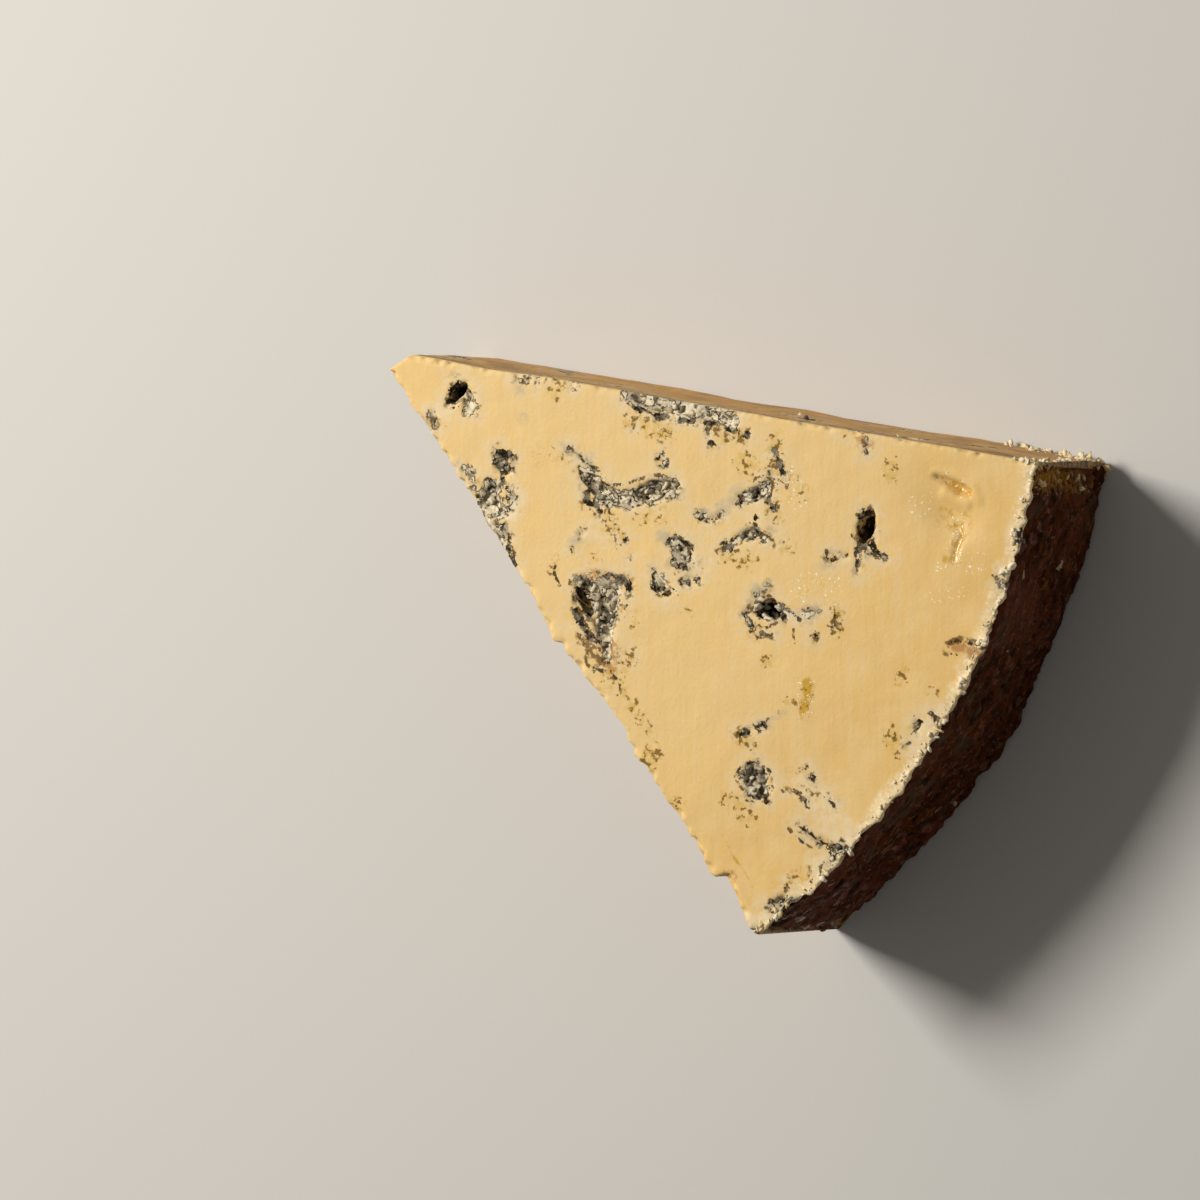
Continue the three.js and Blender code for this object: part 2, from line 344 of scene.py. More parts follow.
# The pockets of the upper face. They lie where the solid's do, and some are a little wider or split.
UPPER_POCKETS = (
    Pocket(((14.5, 0.2, 0.9), (14.3, 1.7, 1.15), (14.9, 2.8, 0.8)), 4.5, 0.0),
    Pocket(((16.0, 2.3, 0.9), (17.0, 0.8, 1.1)), 0.9, 0.8),
    Pocket(((12.9, -3.0, 0.6), (14.2, -4.2, 0.6)), 1.2, 0.5),
    Pocket(((24.4, -2.4, 1.0), (26.0, -3.8, 1.2)), 1.0, 0.35),
    Pocket(((26.0, -6.8, 1.4), (26.8, -9.2, 1.8), (28.0, -8.8, 1.4)), 1.3, 0.5),
    Pocket(((27.4, -10.4, 0.9), (32.4, -12.7, 0.6)), 0.9, 0.6),
    Pocket(((35.8, 2.3, 0.6), (38.5, 1.7, 1.0), (41.2, 1.0, 1.3), (44.2, 2.6, 1.3)), 1.1, 0.65),
    Pocket(((44.6, 3.2, 1.2), (46.6, 5.4, 1.5), (48.4, 7.2, 1.4)), 1.6, 0.7),
    Pocket(((45.0, 3.4, 0.5), (46.4, 4.4, 0.6)), 3.6, 0.0),
    Pocket(((36.2, 14.2, 0.8), (40.6, 16.1, 1.4), (45.4, 18.1, 1.6), (51.5, 19.6, 0.9)), 1.6, 0.7),
    Pocket(((44.6, -11.0, 1.2), (47.8, -10.2, 2.5), (50.0, -13.6, 1.7), (53.2, -17.6, 0.6)), 1.7, 0.65),
    Pocket(((43.9, -11.3, 0.5), (45.6, -12.8, 0.7), (47.6, -13.9, 0.5)), 4.2, 0.0),
    Pocket(((53.4, 1.0, 1.0), (55.2, 0.2, 1.1)), 0.9, 0.5),
    Pocket(((53.6, -4.5, 0.7), (55.2, -5.2, 0.8)), 0.8, 0.5),
    Pocket(((58.8, 11.8, 0.7), (60.2, 14.0, 1.1), (60.6, 16.0, 0.6)), 0.8, 0.4),
    Pocket(((60.6, 6.4, 0.6), (62.2, 8.4, 0.8), (64.6, 8.8, 0.5)), 0.8, 0.4),
    Pocket(((68.4, 0.2, 1.4), (69.8, 0.7, 1.6), (71.2, 1.2, 1.2)), 4.6, 0.25),
    Pocket(((75.2, 19.2, 0.9), (75.6, 17.2, 1.3), (76.4, 15.6, 0.9)), 5.5, 0.1),
    Pocket(((79.8, -19.7, 1.7), (81.4, -20.8, 1.8)), 1.1, 0.4),
    Pocket(((94.6, -21.9, 0.5), (96.9, -21.3, 0.8)), 0.7, 0.35),
    Pocket(((92.6, -31.4, 0.5), (91.8, -33.6, 0.7)), 0.9, 0.4),
)

UPPER_VEINS = (
    Vein(((12.7, 3.6, 0.25),), 0.0),
    Vein(((24.0, -1.8, 0.4), (25.6, -1.6, 0.5), (27.0, -3.2, 0.5), (26.4, -5.0, 0.4)), 0.2),
    Vein(((21.4, -6.4, 0.5), (23.4, -7.8, 0.6)), 0.6),
    Vein(((28.8, -5.8, 0.7), (29.8, -7.6, 0.9), (29.2, -9.6, 0.6)), 0.95),
    Vein(((30.2, -10.8, 0.8), (34.2, -14.0, 0.4)), 0.3),
    Vein(((32.4, 3.8, 0.12), (35.4, 3.6, 0.2), (38.2, 3.4, 0.15)), 0.0),
    Vein(((38.6, -0.6, 0.5), (41.4, -1.2, 0.4)), 0.2),
    Vein(((45.0, 9.9, 0.5), (46.0, 9.4, 0.6)), 0.5),
    Vein((
        (37.0, 13.6, 0.4), (41.0, 14.3, 0.5), (45.0, 16.0, 0.4), (49.2, 18.0, 0.5),
        (54.2, 19.3, 0.4),
    ), 0.1),
    Vein(((39.5, 11.0, 0.3),), 0.1),
    Vein(((49.0, 16.6, 0.45), (50.4, 15.4, 0.3)), 0.1),
    Vein(((44.8, -10.0, 0.5), (47.4, -8.0, 0.6), (50.2, -7.3, 0.5), (51.2, -8.4, 0.4)), 0.15),
    Vein(((43.4, -11.2, 0.4), (46.0, -15.0, 0.5), (49.8, -16.8, 0.5)), 0.1),
    Vein((
        (52.2, 0.4, 0.35), (53.2, 1.7, 0.45), (54.8, 1.8, 0.45), (56.2, 0.6, 0.45),
        (56.1, -1.0, 0.4),
    ), 0.15),
    Vein(((54.2, -1.6, 0.5), (55.8, -1.8, 0.5)), 0.4),
    Vein(((52.6, -4.0, 0.35), (53.8, -5.6, 0.45), (55.4, -5.8, 0.45), (56.3, -4.6, 0.3)), 0.15),
    Vein(((57.0, -2.8, 0.5), (58.5, -1.6, 0.55)), 0.35),
    Vein(((60.6, 16.4, 0.4), (59.5, 13.2, 0.5), (58.0, 11.0, 0.6)), 0.25),
    Vein(((60.2, 14.2, 0.4), (62.9, 12.6, 0.6)), 0.3),
    Vein(((54.0, 6.2, 0.5), (55.6, 6.3, 0.45), (57.0, 8.2, 0.35)), 0.4),
    Vein(((59.7, 4.4, 0.4), (61.0, 6.6, 0.55), (63.2, 8.8, 0.5), (65.8, 8.6, 0.3)), 0.3),
    Vein(((61.6, 10.0, 0.3),), 0.0),
    Vein(((58.8, 19.6, 0.3), (60.2, 18.4, 0.35), (61.6, 17.5, 0.25)), 0.2),
    Vein(((67.0, -1.2, 0.15), (67.0, 1.4, 0.25), (68.0, 2.6, 0.6)), 0.5),
    Vein(((67.2, -2.0, 0.4), (69.4, -3.0, 0.5), (71.6, -2.4, 0.4)), 0.15),
    Vein(((71.6, 1.6, 0.5), (74.4, 2.6, 0.6), (75.8, 4.2, 0.4)), 0.7),
    Vein(((77.2, 16.9, 0.6), (77.8, 16.1, 0.5)), 0.0),
    Vein(((76.0, 15.0, 0.5), (77.0, 13.5, 0.4), (77.8, 11.8, 0.35)), 0.1),
    Vein(((77.0, 14.9, 0.3), (80.6, 15.5, 0.2)), 0.1),
    Vein(((73.2, 11.2, 0.4), (75.4, 12.8, 0.35)), 0.2),
    Vein(((78.7, 5.2, 0.05), (79.0, 4.0, 0.2)), 0.0),
    Vein(((77.4, 0.8, 0.12),), 0.0),
    Vein(((77.5, -13.2, 0.2), (76.6, -14.4, 0.3), (75.3, -15.8, 0.3)), 0.1),
    Vein(((78.6, -19.2, 0.4), (80.4, -18.3, 0.4), (82.8, -19.6, 0.4), (83.0, -21.6, 0.4)), 0.2),
    Vein(((85.7, -14.8, 0.15), (87.7, -15.6, 0.1)), 0.0),
    Vein(((91.0, -16.4, 0.25), (92.0, -16.8, 0.15)), 0.0),
    Vein(((84.5, -19.0, 0.0), (86.8, -18.3, 0.15), (89.2, -19.0, 0.1)), 0.1),
    Vein(((88.8, -21.9, 0.2), (92.0, -22.3, 0.3), (96.2, -21.7, 0.3)), 0.2),
    Vein(((95.8, -20.3, 0.3), (96.5, -21.5, 0.4), (96.0, -23.2, 0.25), (95.2, -24.8, 0.2)), 0.3),
    Vein(((92.0, -29.8, 0.3), (92.8, -31.8, 0.5), (91.2, -34.2, 0.4)), 0.2),
    Vein(((93.8, -31.4, 0.6), (94.0, -33.0, 0.5)), 0.5),
    Vein(((90.0, -38.0, 0.3), (91.8, -37.6, 0.4)), 0.2),
    Vein(((69.2, 27.8, 0.4), (70.0, 26.3, 0.3)), 0.3),
    Vein(((94.8, 28.6, 0.4), (95.2, 27.6, 0.3)), 0.3),
    Vein(((95.4, 21.8, 0.4), (97.4, 21.6, 0.4)), 0.5),
    Vein(((98.4, 15.8, 0.35),), 0.5),
    Vein(((97.4, 1.3, 0.3), (99.5, 0.4, 0.4)), 0.2),
    Vein(((96.2, -0.6, 0.35), (96.4, -1.8, 0.45)), 0.1),
    Vein(((96.5, -4.2, 0.3),), 0.2),
    Vein(((46.5, -2.2, 0.45),), 0.3),
    Vein(((48.5, -3.8, 0.25),), 0.1),
    Vein(((40.8, -4.6, 0.35), (40.6, -5.6, 0.2)), 0.5),
    Vein(((40.6, -7.6, 0.15),), 0.1),
    Vein(((55.4, -15.8, 0.4), (54.7, -16.3, 0.25)), 0.2),
    Vein(((57.2, 0.2, 0.2), (59.0, 0.6, 0.15)), 0.0),
)

# Hair-thin cracks beside the mould of the upper face, one line for each that shows.
UPPER_CRACKS = tuple(Crack(places) for places in (
    ((32.6, 3.4), (34.4, 3.8), (36.2, 3.2), (38.0, 3.6)),
    (
        (35.4, 1.8), (37.7, 2.4), (40.2, 2.4), (41.9, 3.5), (43.3, 4.8), (44.8, 6.7), (46.9, 8.1),
        (49.1, 7.7), (49.6, 6.2), (48.0, 4.8), (46.1, 3.1), (45.0, 1.8),
    ),
    ((36.2, 1.6), (38.9, 0.5), (41.1, 0.2), (43.0, -0.6)),
    ((44.5, 3.0), (46.3, 4.4), (46.5, 5.6), (45.5, 5.7)),
    ((42.5, -11.6), (44.1, -11.5), (45.4, -9.8), (48.0, -7.7), (50.0, -6.9), (51.2, -8.0)),
    ((42.8, -11.9), (45.2, -14.0), (47.2, -15.0), (49.3, -16.0), (51.2, -17.1), (53.7, -18.2)),
    ((43.9, -11.6), (46.3, -13.3), (47.6, -13.6), (49.0, -13.2)),
    ((47.7, -11.1), (49.0, -11.6), (49.0, -13.2)),
    ((50.4, -13.0), (51.0, -10.8), (51.7, -10.0)),
    ((39.6, -10.7), (40.0, -11.8), (41.8, -13.0)),
    (
        (47.6, -17.1), (49.9, -18.1), (50.9, -19.6), (52.7, -19.8), (54.7, -19.0), (56.6, -19.6),
        (57.4, -20.7),
    ),
    ((49.3, -16.0), (51.8, -16.7), (52.8, -18.4)),
    ((52.2, 0.4), (53.2, 1.9), (55.0, 1.6), (56.1, 0.5), (56.3, -0.6), (54.8, -1.3)),
    ((53.7, 1.1), (54.8, -0.3), (54.2, -1.1)),
    ((52.7, -4.3), (53.7, -5.5), (55.1, -5.8), (56.3, -5.1)),
    ((57.2, -2.8), (58.4, -2.4), (58.8, -1.4)),
    ((54.4, 6.2), (55.3, 5.8), (56.4, 6.3), (56.7, 8.0)),
    ((23.5, -2.9), (24.6, -1.8), (26.4, -2.7), (27.0, -4.1), (25.8, -4.2)),
    ((24.7, -7.6), (25.2, -5.9), (26.5, -6.5), (27.0, -8.5), (28.5, -8.9), (29.6, -6.6)),
    ((31.3, -10.8), (32.5, -11.9), (33.8, -12.7)),
    ((44.7, 9.6), (45.2, 10.3), (46.5, 9.7), (46.3, 9.0), (45.4, 8.8)),
    (
        (57.9, 10.1), (58.1, 11.7), (58.4, 13.6), (58.6, 15.1), (59.4, 15.8), (60.7, 15.7),
        (61.4, 14.6), (61.5, 12.8), (62.6, 13.1),
    ),
    ((58.6, 13.3), (60.2, 13.0), (60.4, 11.9)),
    ((58.8, 4.4), (60.0, 5.6), (60.7, 7.5), (62.5, 8.6), (64.2, 9.0), (65.7, 8.7)),
    ((60.4, 8.4), (61.1, 9.3), (62.2, 9.4)),
    ((73.7, 18.3), (75.3, 20.0), (76.9, 18.3), (77.1, 16.1)),
    ((74.5, 15.6), (76.4, 15.1), (77.9, 15.9)),
    ((72.5, 11.8), (73.2, 11.0), (74.0, 11.4)),
    ((74.2, 11.8), (75.3, 12.6)),
    ((76.2, 13.9), (78.0, 11.4)),
    ((77.3, 14.8), (79.2, 14.9), (80.5, 15.6)),
    ((67.2, -1.6), (68.2, 0.3), (69.2, 1.8), (71.0, 2.1)),
    ((67.6, -1.9), (69.3, -2.2), (71.0, -1.5), (71.7, -0.2)),
    ((67.0, 2.2), (67.9, 1.5), (68.9, 2.3)),
    ((68.4, -3.2), (70.4, -3.5), (72.1, -1.9)),
    ((71.5, 1.9), (73.3, 2.2), (74.5, 1.8)),
    ((74.2, 0.4), (75.2, -1.2)),
    ((76.6, 1.1), (77.9, 1.0), (77.8, 0.0)),
    ((77.5, 6.1), (78.4, 4.9), (78.5, 3.5), (79.9, 3.8)),
    ((94.1, 10.5), (95.1, 11.6), (97.1, 12.2), (98.6, 12.9)),
    ((94.4, 10.5), (94.7, 9.3), (96.1, 10.0)),
    ((94.6, 21.8), (95.6, 21.0)),
    ((75.0, -16.7), (75.0, -15.7), (75.8, -14.7), (77.2, -13.3)),
    ((76.2, -13.9), (77.8, -14.4)),
    ((77.3, -12.8), (78.4, -10.5)),
    (
        (77.7, -21.3), (77.8, -19.2), (79.5, -17.7), (81.5, -17.9), (83.1, -19.7), (83.5, -21.3),
        (82.8, -22.5), (80.9, -23.2),
    ),
    ((79.6, -22.2), (78.3, -21.7), (78.0, -20.5)),
    ((78.9, -19.9), (79.9, -19.9), (80.0, -21.0)),
    ((85.2, -15.8), (86.0, -14.6)),
    ((87.1, -15.6), (88.0, -15.5)),
    ((84.5, -19.3), (86.3, -18.6), (87.0, -18.1)),
    ((87.2, -18.7), (89.2, -19.3)),
    ((90.3, -16.6), (91.6, -16.8), (92.9, -17.6)),
    ((87.9, -23.1), (88.8, -23.4)),
    ((88.6, -22.2), (90.4, -22.1), (92.5, -22.2), (93.9, -22.3)),
    ((89.3, -23.4), (90.9, -23.6), (92.3, -23.6)),
    ((93.9, -22.3), (95.5, -21.1), (96.9, -20.9), (95.9, -22.4)),
    ((95.0, -20.1), (96.3, -20.7)),
    ((95.7, -23.3), (94.6, -24.9), (95.7, -26.1)),
    ((91.9, -30.2), (93.2, -31.7), (92.2, -33.3), (90.7, -34.8)),
    ((92.2, -34.2), (94.5, -32.2)),
    ((95.7, -0.7), (96.6, -1.1), (96.3, -2.7)),
    ((97.5, 1.2), (98.4, 0.6), (99.5, 0.6)),
    ((94.2, -3.9), (94.7, -4.6)),
    ((96.2, -4.6), (96.7, -3.9)),
))

# Soft patches of colour on the upper face, by kind. Those in the dent's crease and basin are partly painted
# shade.
UPPER_TINTS = {
    Stain.OLIVE: (
        Tint(((39.0, 12.0, 1.2), (44.0, 13.4, 1.2)), 0.65),
        Tint(((50.6, 17.4, 0.9), (54.2, 18.2, 0.8)), 0.9),
        Tint(((38.6, -0.6, 0.5), (42.2, -1.2, 1.0), (45.6, -3.0, 0.8)), 0.7),
        Tint(((49.4, 3.2, 1.0), (46.6, 1.4, 0.8)), 0.5),
        Tint(((58.0, 20.8, 0.8), (59.8, 18.0, 1.0)), 0.8),
        Tint(((55.6, 15.8, 1.2), (57.6, 15.4, 0.9)), 0.6),
        Tint(((63.4, 12.4, 1.0),), 0.8),
        Tint(((67.4, 9.3, 0.9),), 0.5),
        Tint(((60.0, 3.8, 1.2), (64.2, 4.8, 0.7)), 0.55),
        Tint(((52.4, -10.6, 0.9), (54.0, -11.4, 0.7)), 0.5),
        Tint(((55.6, -15.6, 1.0), (55.2, -20.2, 0.8)), 0.7),
        Tint(((57.2, -20.2, 0.8), (64.8, -23.6, 0.6)), 0.5),
        Tint(((66.0, -25.5, 1.0),), 1.0),
        Tint(((72.6, -29.0, 0.7),), 0.6),
        Tint(((78.2, 5.8, 0.5), (79.2, 3.4, 0.7)), 1.0),
        Tint(((75.4, -16.4, 0.9), (77.4, -16.2, 0.7)), 0.7),
        Tint(((78.4, -24.6, 0.8), (82.6, -25.0, 0.9)), 0.6),
        Tint(((85.6, -15.8, 0.7), (88.4, -17.4, 0.8)), 0.5),
        Tint(((93.6, -4.2, 0.8), (95.6, -5.6, 0.8)), 0.7),
        Tint(((90.8, 3.6, 0.5), (91.2, 2.4, 0.4)), 0.8),
        Tint(((95.8, 3.8, 0.5),), 0.6),
        Tint(((73.0, -5.5, 0.5),), 0.7),
        Tint(((59.8, -6.0, 0.6),), 0.5),
        Tint(((74.2, 26.8, 0.7), (75.2, 25.4, 0.6)), 0.8),
        Tint(((30.0, 1.0, 1.6), (33.0, 2.0, 1.0)), 0.25),
        Tint(((93.4, -27.0, 0.8), (92.2, -28.4, 0.7)), 0.5),
        Tint(((44.4, -7.2, 0.7),), 0.5),
        Tint(((38.8, -1.4, 0.6),), 0.6),
        Tint(((65.0, 16.4, 1.6), (62.4, 17.2, 1.2)), 0.35),
        Tint(((80.2, -5.2, 0.5), (81.4, -8.4, 0.6)), 0.6),
        Tint(((77.4, 0.8, 0.5),), 0.9),
        Tint(((39.2, -10.2, 0.2), (39.8, -11.9, 0.3)), 0.6),
        Tint(((78.4, -8.4, 0.2), (80.4, -8.0, 0.2)), 0.7),
    ),
    Stain.PALE: (
        Tint(((86.8, -17.0, 1.4), (92.4, -18.8, 2.2), (96.4, -19.4, 1.6)), 0.9),
        Tint(((95.0, -24.6, 1.6), (93.0, -25.2, 0.8)), 0.8),
        Tint(((97.4, 1.2, 1.2), (98.0, -3.4, 1.4)), 0.8),
        Tint(((89.8, -37.0, 1.2), (92.8, -35.4, 1.0)), 0.9),
        Tint(((29.8, -6.2, 1.2), (30.6, -8.4, 1.0)), 0.9),
        Tint(((12.2, -3.2, 0.8), (14.2, -1.6, 0.9)), 0.9),
        Tint(((33.6, 3.4, 1.0), (37.6, 3.0, 1.2)), 0.6),
        Tint(((44.0, -3.6, 1.4), (41.0, -3.0, 1.0)), 0.5),
        Tint(((58.6, 2.6, 1.6), (56.0, -3.4, 1.4)), 0.5),
    ),
    Stain.BLUE: (
        Tint(((22.2, 6.8, 0.5),), 0.6, soft=2.2),
        Tint(((24.8, 3.8, 0.7),), 0.5),
        Tint(((31.6, 3.6, 0.5), (36.4, 3.8, 0.8)), 0.45, soft=3.0),
        Tint(((51.0, 0.9, 0.7),), 0.7),
        Tint(((56.6, 9.0, 0.9), (57.4, 12.0, 0.8)), 0.6),
        Tint(((66.8, 1.6, 0.9),), 0.7),
        Tint(((74.8, 2.8, 1.0),), 0.5),
        Tint(((73.6, 10.6, 0.9),), 0.5),
        Tint(((40.6, -6.6, 1.2),), 0.4),
        Tint(((92.4, -32.6, 1.4),), 0.6),
        Tint(((96.0, -22.4, 1.2),), 0.4),
        Tint(((13.2, -4.2, 1.2),), 0.5),
        Tint(((79.2, -10.0, 0.2), (77.4, -13.2, 0.6)), 0.5),
    ),
    Stain.BROWN: (
        Tint(((48.4, -17.2, 0.5), (52.6, -18.6, 0.5)), 0.45),
        Tint(((94.0, 10.6, 0.15), (95.2, 11.8, 0.25), (98.4, 13.0, 0.15)), 0.9, soft=0.7),
        Tint(((94.6, 9.2, 0.3),), 0.5, soft=0.8),
        Tint(((93.2, 36.4, 0.9),), 0.3),
        # Painted shadow: the dark line under the crease's lip.
        Tint(((82.0, 28.9, 0.0), (84.6, 29.0, 0.3), (85.6, 29.2, 0.0)), 0.45, soft=0.8),
    ),
    Stain.WET: (
        Tint(((79.8, -5.2, 0.7), (81.4, -8.2, 0.6)), 1.0),
        Tint(((72.6, 5.6, 2.0), (75.4, 8.2, 1.6)), 0.5),
        Tint(((86.0, 25.2, 1.0), (89.0, 20.6, 0.9)), 0.6),
        Tint(((62.0, 17.4, 1.4), (65.4, 15.8, 1.2)), 0.5),
        Tint(((81.2, 29.2, 0.7), (85.2, 29.4, 0.7)), 0.8),
        Tint(((80.6, 24.2, 1.4), (81.4, 26.2, 0.8)), 0.4),
        Tint(((87.4, 18.8, 0.8), (91.8, 22.0, 1.4)), 0.4),
        Tint(((88.8, 14.6, 0.8), (92.2, 17.4, 0.8)), 0.3),
    ),
    Stain.RUSSET: (
        Tint(((95.2, 10.8, 0.5), (98.6, 11.8, 0.8)), 0.8, soft=1.4),
        Tint(((52.0, -16.0, 1.0), (54.2, -18.8, 0.7)), 0.7),
        Tint(((44.2, -10.2, 0.7), (50.0, -7.0, 0.6)), 0.5),
        Tint(((83.8, -33.6, 0.9),), 0.6),
        Tint(((69.4, 27.2, 0.8),), 0.6),
        Tint(((69.6, -3.1, 0.8),), 0.4),
    ),
    Stain.AMBER: (
        # The crease: golden-brown, partly the paste's colour and partly painted shade under its lip.
        Tint(((82.6, 29.0, 0.2), (84.6, 29.1, 0.5), (85.6, 29.3, 0.3)), 0.9, soft=0.9),
        Tint(((86.4, 24.6, 0.1), (88.0, 23.9, 0.3), (88.0, 22.6, 0.3), (88.7, 20.8, 0.2)), 0.8, soft=1.0),
        Tint(((87.4, 19.8, 0.3), (88.9, 20.3, 0.3)), 0.5, soft=0.8),
        Tint(
            ((79.9, -28.9, 0.0), (83.1, -30.7, 0.1), (86.0, -31.8, 0.1), (88.3, -33.1, 0.0)), 0.45, soft=0.5
        ),
        Tint(((79.8, -4.8, 0.4), (80.8, -7.0, 0.3), (81.4, -9.0, 0.1)), 0.95, soft=1.4),
        # Painted shade: a darker amber in the dent's basin.
        Tint(((86.8, 25.4, 1.2), (84.6, 24.6, 1.2)), 0.3, soft=3.4),
        Tint(((85.0, 26.2, 0.6), (86.4, 25.4, 0.4)), 0.3),
    ),
}


@dataclass(frozen=True)
class Dent:
    """The dented place near the rind.

    A leaf-shaped crease lies between a raised lip and a ridge, and a wet crack runs down from the
    basin under it. A basin is its middle, its two half widths and its depth.
    """

    basins: tuple[tuple[float, float, float, float, float], ...] = (
        (85.6, 25.0, 3.4, 3.0, 0.8),
        (82.0, 26.5, 4.0, 4.0, 0.35),
    )
    leaf: Route = ((80.4, 28.7, 0.05), (82.6, 29.0, 0.35), (84.4, 29.1, 0.6), (85.6, 29.4, 0.25))
    leaf_depth: float = 1.3
    lip: Route = ((80.2, 29.2, 0.1), (83.2, 30.3, 0.2), (85.6, 30.3, 0.2), (87.4, 29.2, 0.1))
    lip_height: float = 0.15
    ridge: Route = ((82.8, 27.2, 0.1), (84.6, 27.3, 0.25), (86.2, 27.8, 0.1))
    ridge_height: float = 0.3
    crack: Route = ((86.4, 24.6, 0.05), (88.0, 23.9, 0.15), (88.0, 22.6, 0.15), (88.7, 20.8, 0.05))
    crack_depth: float = 0.3

    def height(self, points: Array) -> Array:
        """Gives the dent's height.

        Args:
            points: points of the upper face.

        Returns:
            One height a point, below 0 where the face is dented.
        """
        x, y = points[:, 0], points[:, 1]
        basin = np.zeros(len(points))
        for along, across, half_length, half_width, deep in self.basins:
            basin -= deep * np.exp(-(((x - along) / half_length) ** 2) - ((y - across) / half_width) ** 2)
        leaf, lip, ridge, crack = (
            distance_to(route, points[:, :2]) for route in (self.leaf, self.lip, self.ridge, self.crack)
        )
        height = basin - self.leaf_depth * (1.0 - eased((leaf + 0.3) / 0.8))
        height = height - self.crack_depth * (1.0 - eased((crack + 0.1) / 0.7))
        height = height + self.lip_height * (1.0 - eased(lip / 0.9))
        return height + self.ridge_height * (1.0 - eased(ridge / 1.1))


@dataclass(frozen=True)
class HiddenFaces:
    """Lays out the mould of the straight sides and the lower face on a grid, each by a seeded draw.

    The pockets are the solid's own. Veins run out from them, and specks lie between.
    """

    spacing: float = 15.0
    margin: float = 5.0
    clearance: float = 1.5
    least_half_width: float = 1.0
    most_half_width: float = 2.4
    rarity_of_large: int = 2
    least_depth: float = 0.5  # in half widths
    most_depth: float = 1.5
    pocket_fuzz: float = 0.45
    seed: int = 11
    veins_each: int = 3
    vein_half_width: float = 0.42
    specks_each: int = 3
    speck_half_width: float = 0.28
    streak_spans: tuple[Range, ...] = ((28.0, 56.0), (67.0, 80.0))
    streak_spacing: float = 2.2
    tints_each: tuple[tuple[Stain, int], ...] = ((Stain.OLIVE, 3), (Stain.BLUE, 1))
    vein_seed: int = 29

    def holds(self, face: CutFace, u: float, v: float) -> bool:
        """Tells whether a pocket fits at a place.

        Args:
            face: the face.
            u, v: the place along and across it.

        Returns:
            False where the place is too near the lower face's slanting or round edges.
        """
        if face != LOWER:
            return True
        inside = abs(v) < u * math.tan(WEDGE.half_angle) - self.margin
        return inside and math.hypot(u, v) < WEDGE.radius - self.margin

    def pockets(self) -> list[Pocket]:
        """Sets out the pockets of the three faces, where the solid has them.

        Returns:
            The pockets.
        """
        draw = Draw(self.seed)
        reach = WEDGE.radius * math.sin(WEDGE.half_angle)
        spans = (
            (PLUS_SIDE, -WEDGE.thickness, 0.0),
            (MINUS_SIDE, 0.0, WEDGE.thickness),
            (LOWER, -reach, reach),
        )
        found = []
        for face, low, high in spans:
            for column in np.arange(2 * self.margin, WEDGE.radius - self.margin, self.spacing):
                for row in np.arange(low + self.margin, high, self.spacing):
                    u = column + (draw() - 0.5) * self.spacing
                    v = row + (draw() - 0.5) * self.spacing
                    half_width = self.least_half_width
                    spread = self.most_half_width - self.least_half_width
                    half_width += spread * draw() ** self.rarity_of_large
                    depth = half_width * draw(self.least_depth, self.most_depth)
                    room = min(v - low, high - v) - half_width
                    if room >= self.clearance and self.holds(face, u, v):
                        shift = 0.3 * half_width
                        route = ((u - shift, v - shift, 0.8 * half_width), (u + shift, v, 0.9 * half_width))
                        found.append(Pocket(route, depth, self.pocket_fuzz, face))
        return found

    def veins(self, pockets: Sequence[Pocket]) -> list[Vein]:
        """Draws the veins round the pockets, and specks of their own between.

        Args:
            pockets: the pockets.

        Returns:
            The veins and the specks.
        """
        draw = Draw(self.vein_seed)
        found = []
        for pocket in pockets:
            u, v, half_width = pocket.route[0]
            for _ in range(self.veins_each):
                heading = draw(0.0, 2 * math.pi)
                vein = self.wander(draw, pocket.face, (u, v), heading, half_width, self.vein_half_width)
                found.append(vein)
            for _ in range(self.specks_each):
                heading = draw(0.0, 2 * math.pi)
                gap = half_width + draw(1.5, 5.0)
                start = (u + gap * math.cos(heading), v + gap * math.sin(heading))
                heading = draw(0.0, 2 * math.pi)
                found.append(self.wander(draw, pocket.face, start, heading, 0.0, self.speck_half_width))
        return found

    def wander(
        self,
        draw: Draw,
        face: CutFace,
        start: tuple[float, float],
        heading: float,
        gap: float,
        half_width: float,
    ) -> Vein:
        """Makes one short vein that wanders from a start.

        Args:
            draw: the run of random numbers.
            face: the face it lies on.
            start: where it sets out.
            heading: which way it sets out.
            gap: how far from the start it begins.
            half_width: its half width at its widest.

        Returns:
            The vein.
        """
        u = start[0] + gap * math.cos(heading)
        v = start[1] + gap * math.sin(heading)
        route = [(u, v, half_width * draw(0.6, 1.2))]
        for _ in range(int(draw(1.0, 4.0))):
            heading += draw(-0.9, 0.9)
            u += draw(0.6, 1.8) * math.cos(heading)
            v += draw(0.6, 1.8) * math.sin(heading)
            route.append((u, v, half_width * draw(0.4, 1.1)))
        return Vein(tuple(route), draw(0.0, 0.5), face)

    def streaks(self) -> list[Vein]:
        """Draws the grey-brown streaks that run under the upper edge of the +Y side.

        Returns:
            The streaks, as veins.
        """
        draw = Draw(self.vein_seed + 1)
        found = []
        for start, end in self.streak_spans:
            for _ in range(int((end - start) / self.streak_spacing)):
                u, v = draw(start, end), -WEDGE.thickness + draw(0.4, 5.5)
                length = draw(1.5, 6.0)
                middle = (u + 0.5 * length, v + draw(-0.5, 0.5), draw(0.2, 0.5))
                route = ((u, v, 0.2), middle, (u + length, v, 0.15))
                found.append(Vein(route, draw(0.1, 0.6), PLUS_SIDE))
        return found

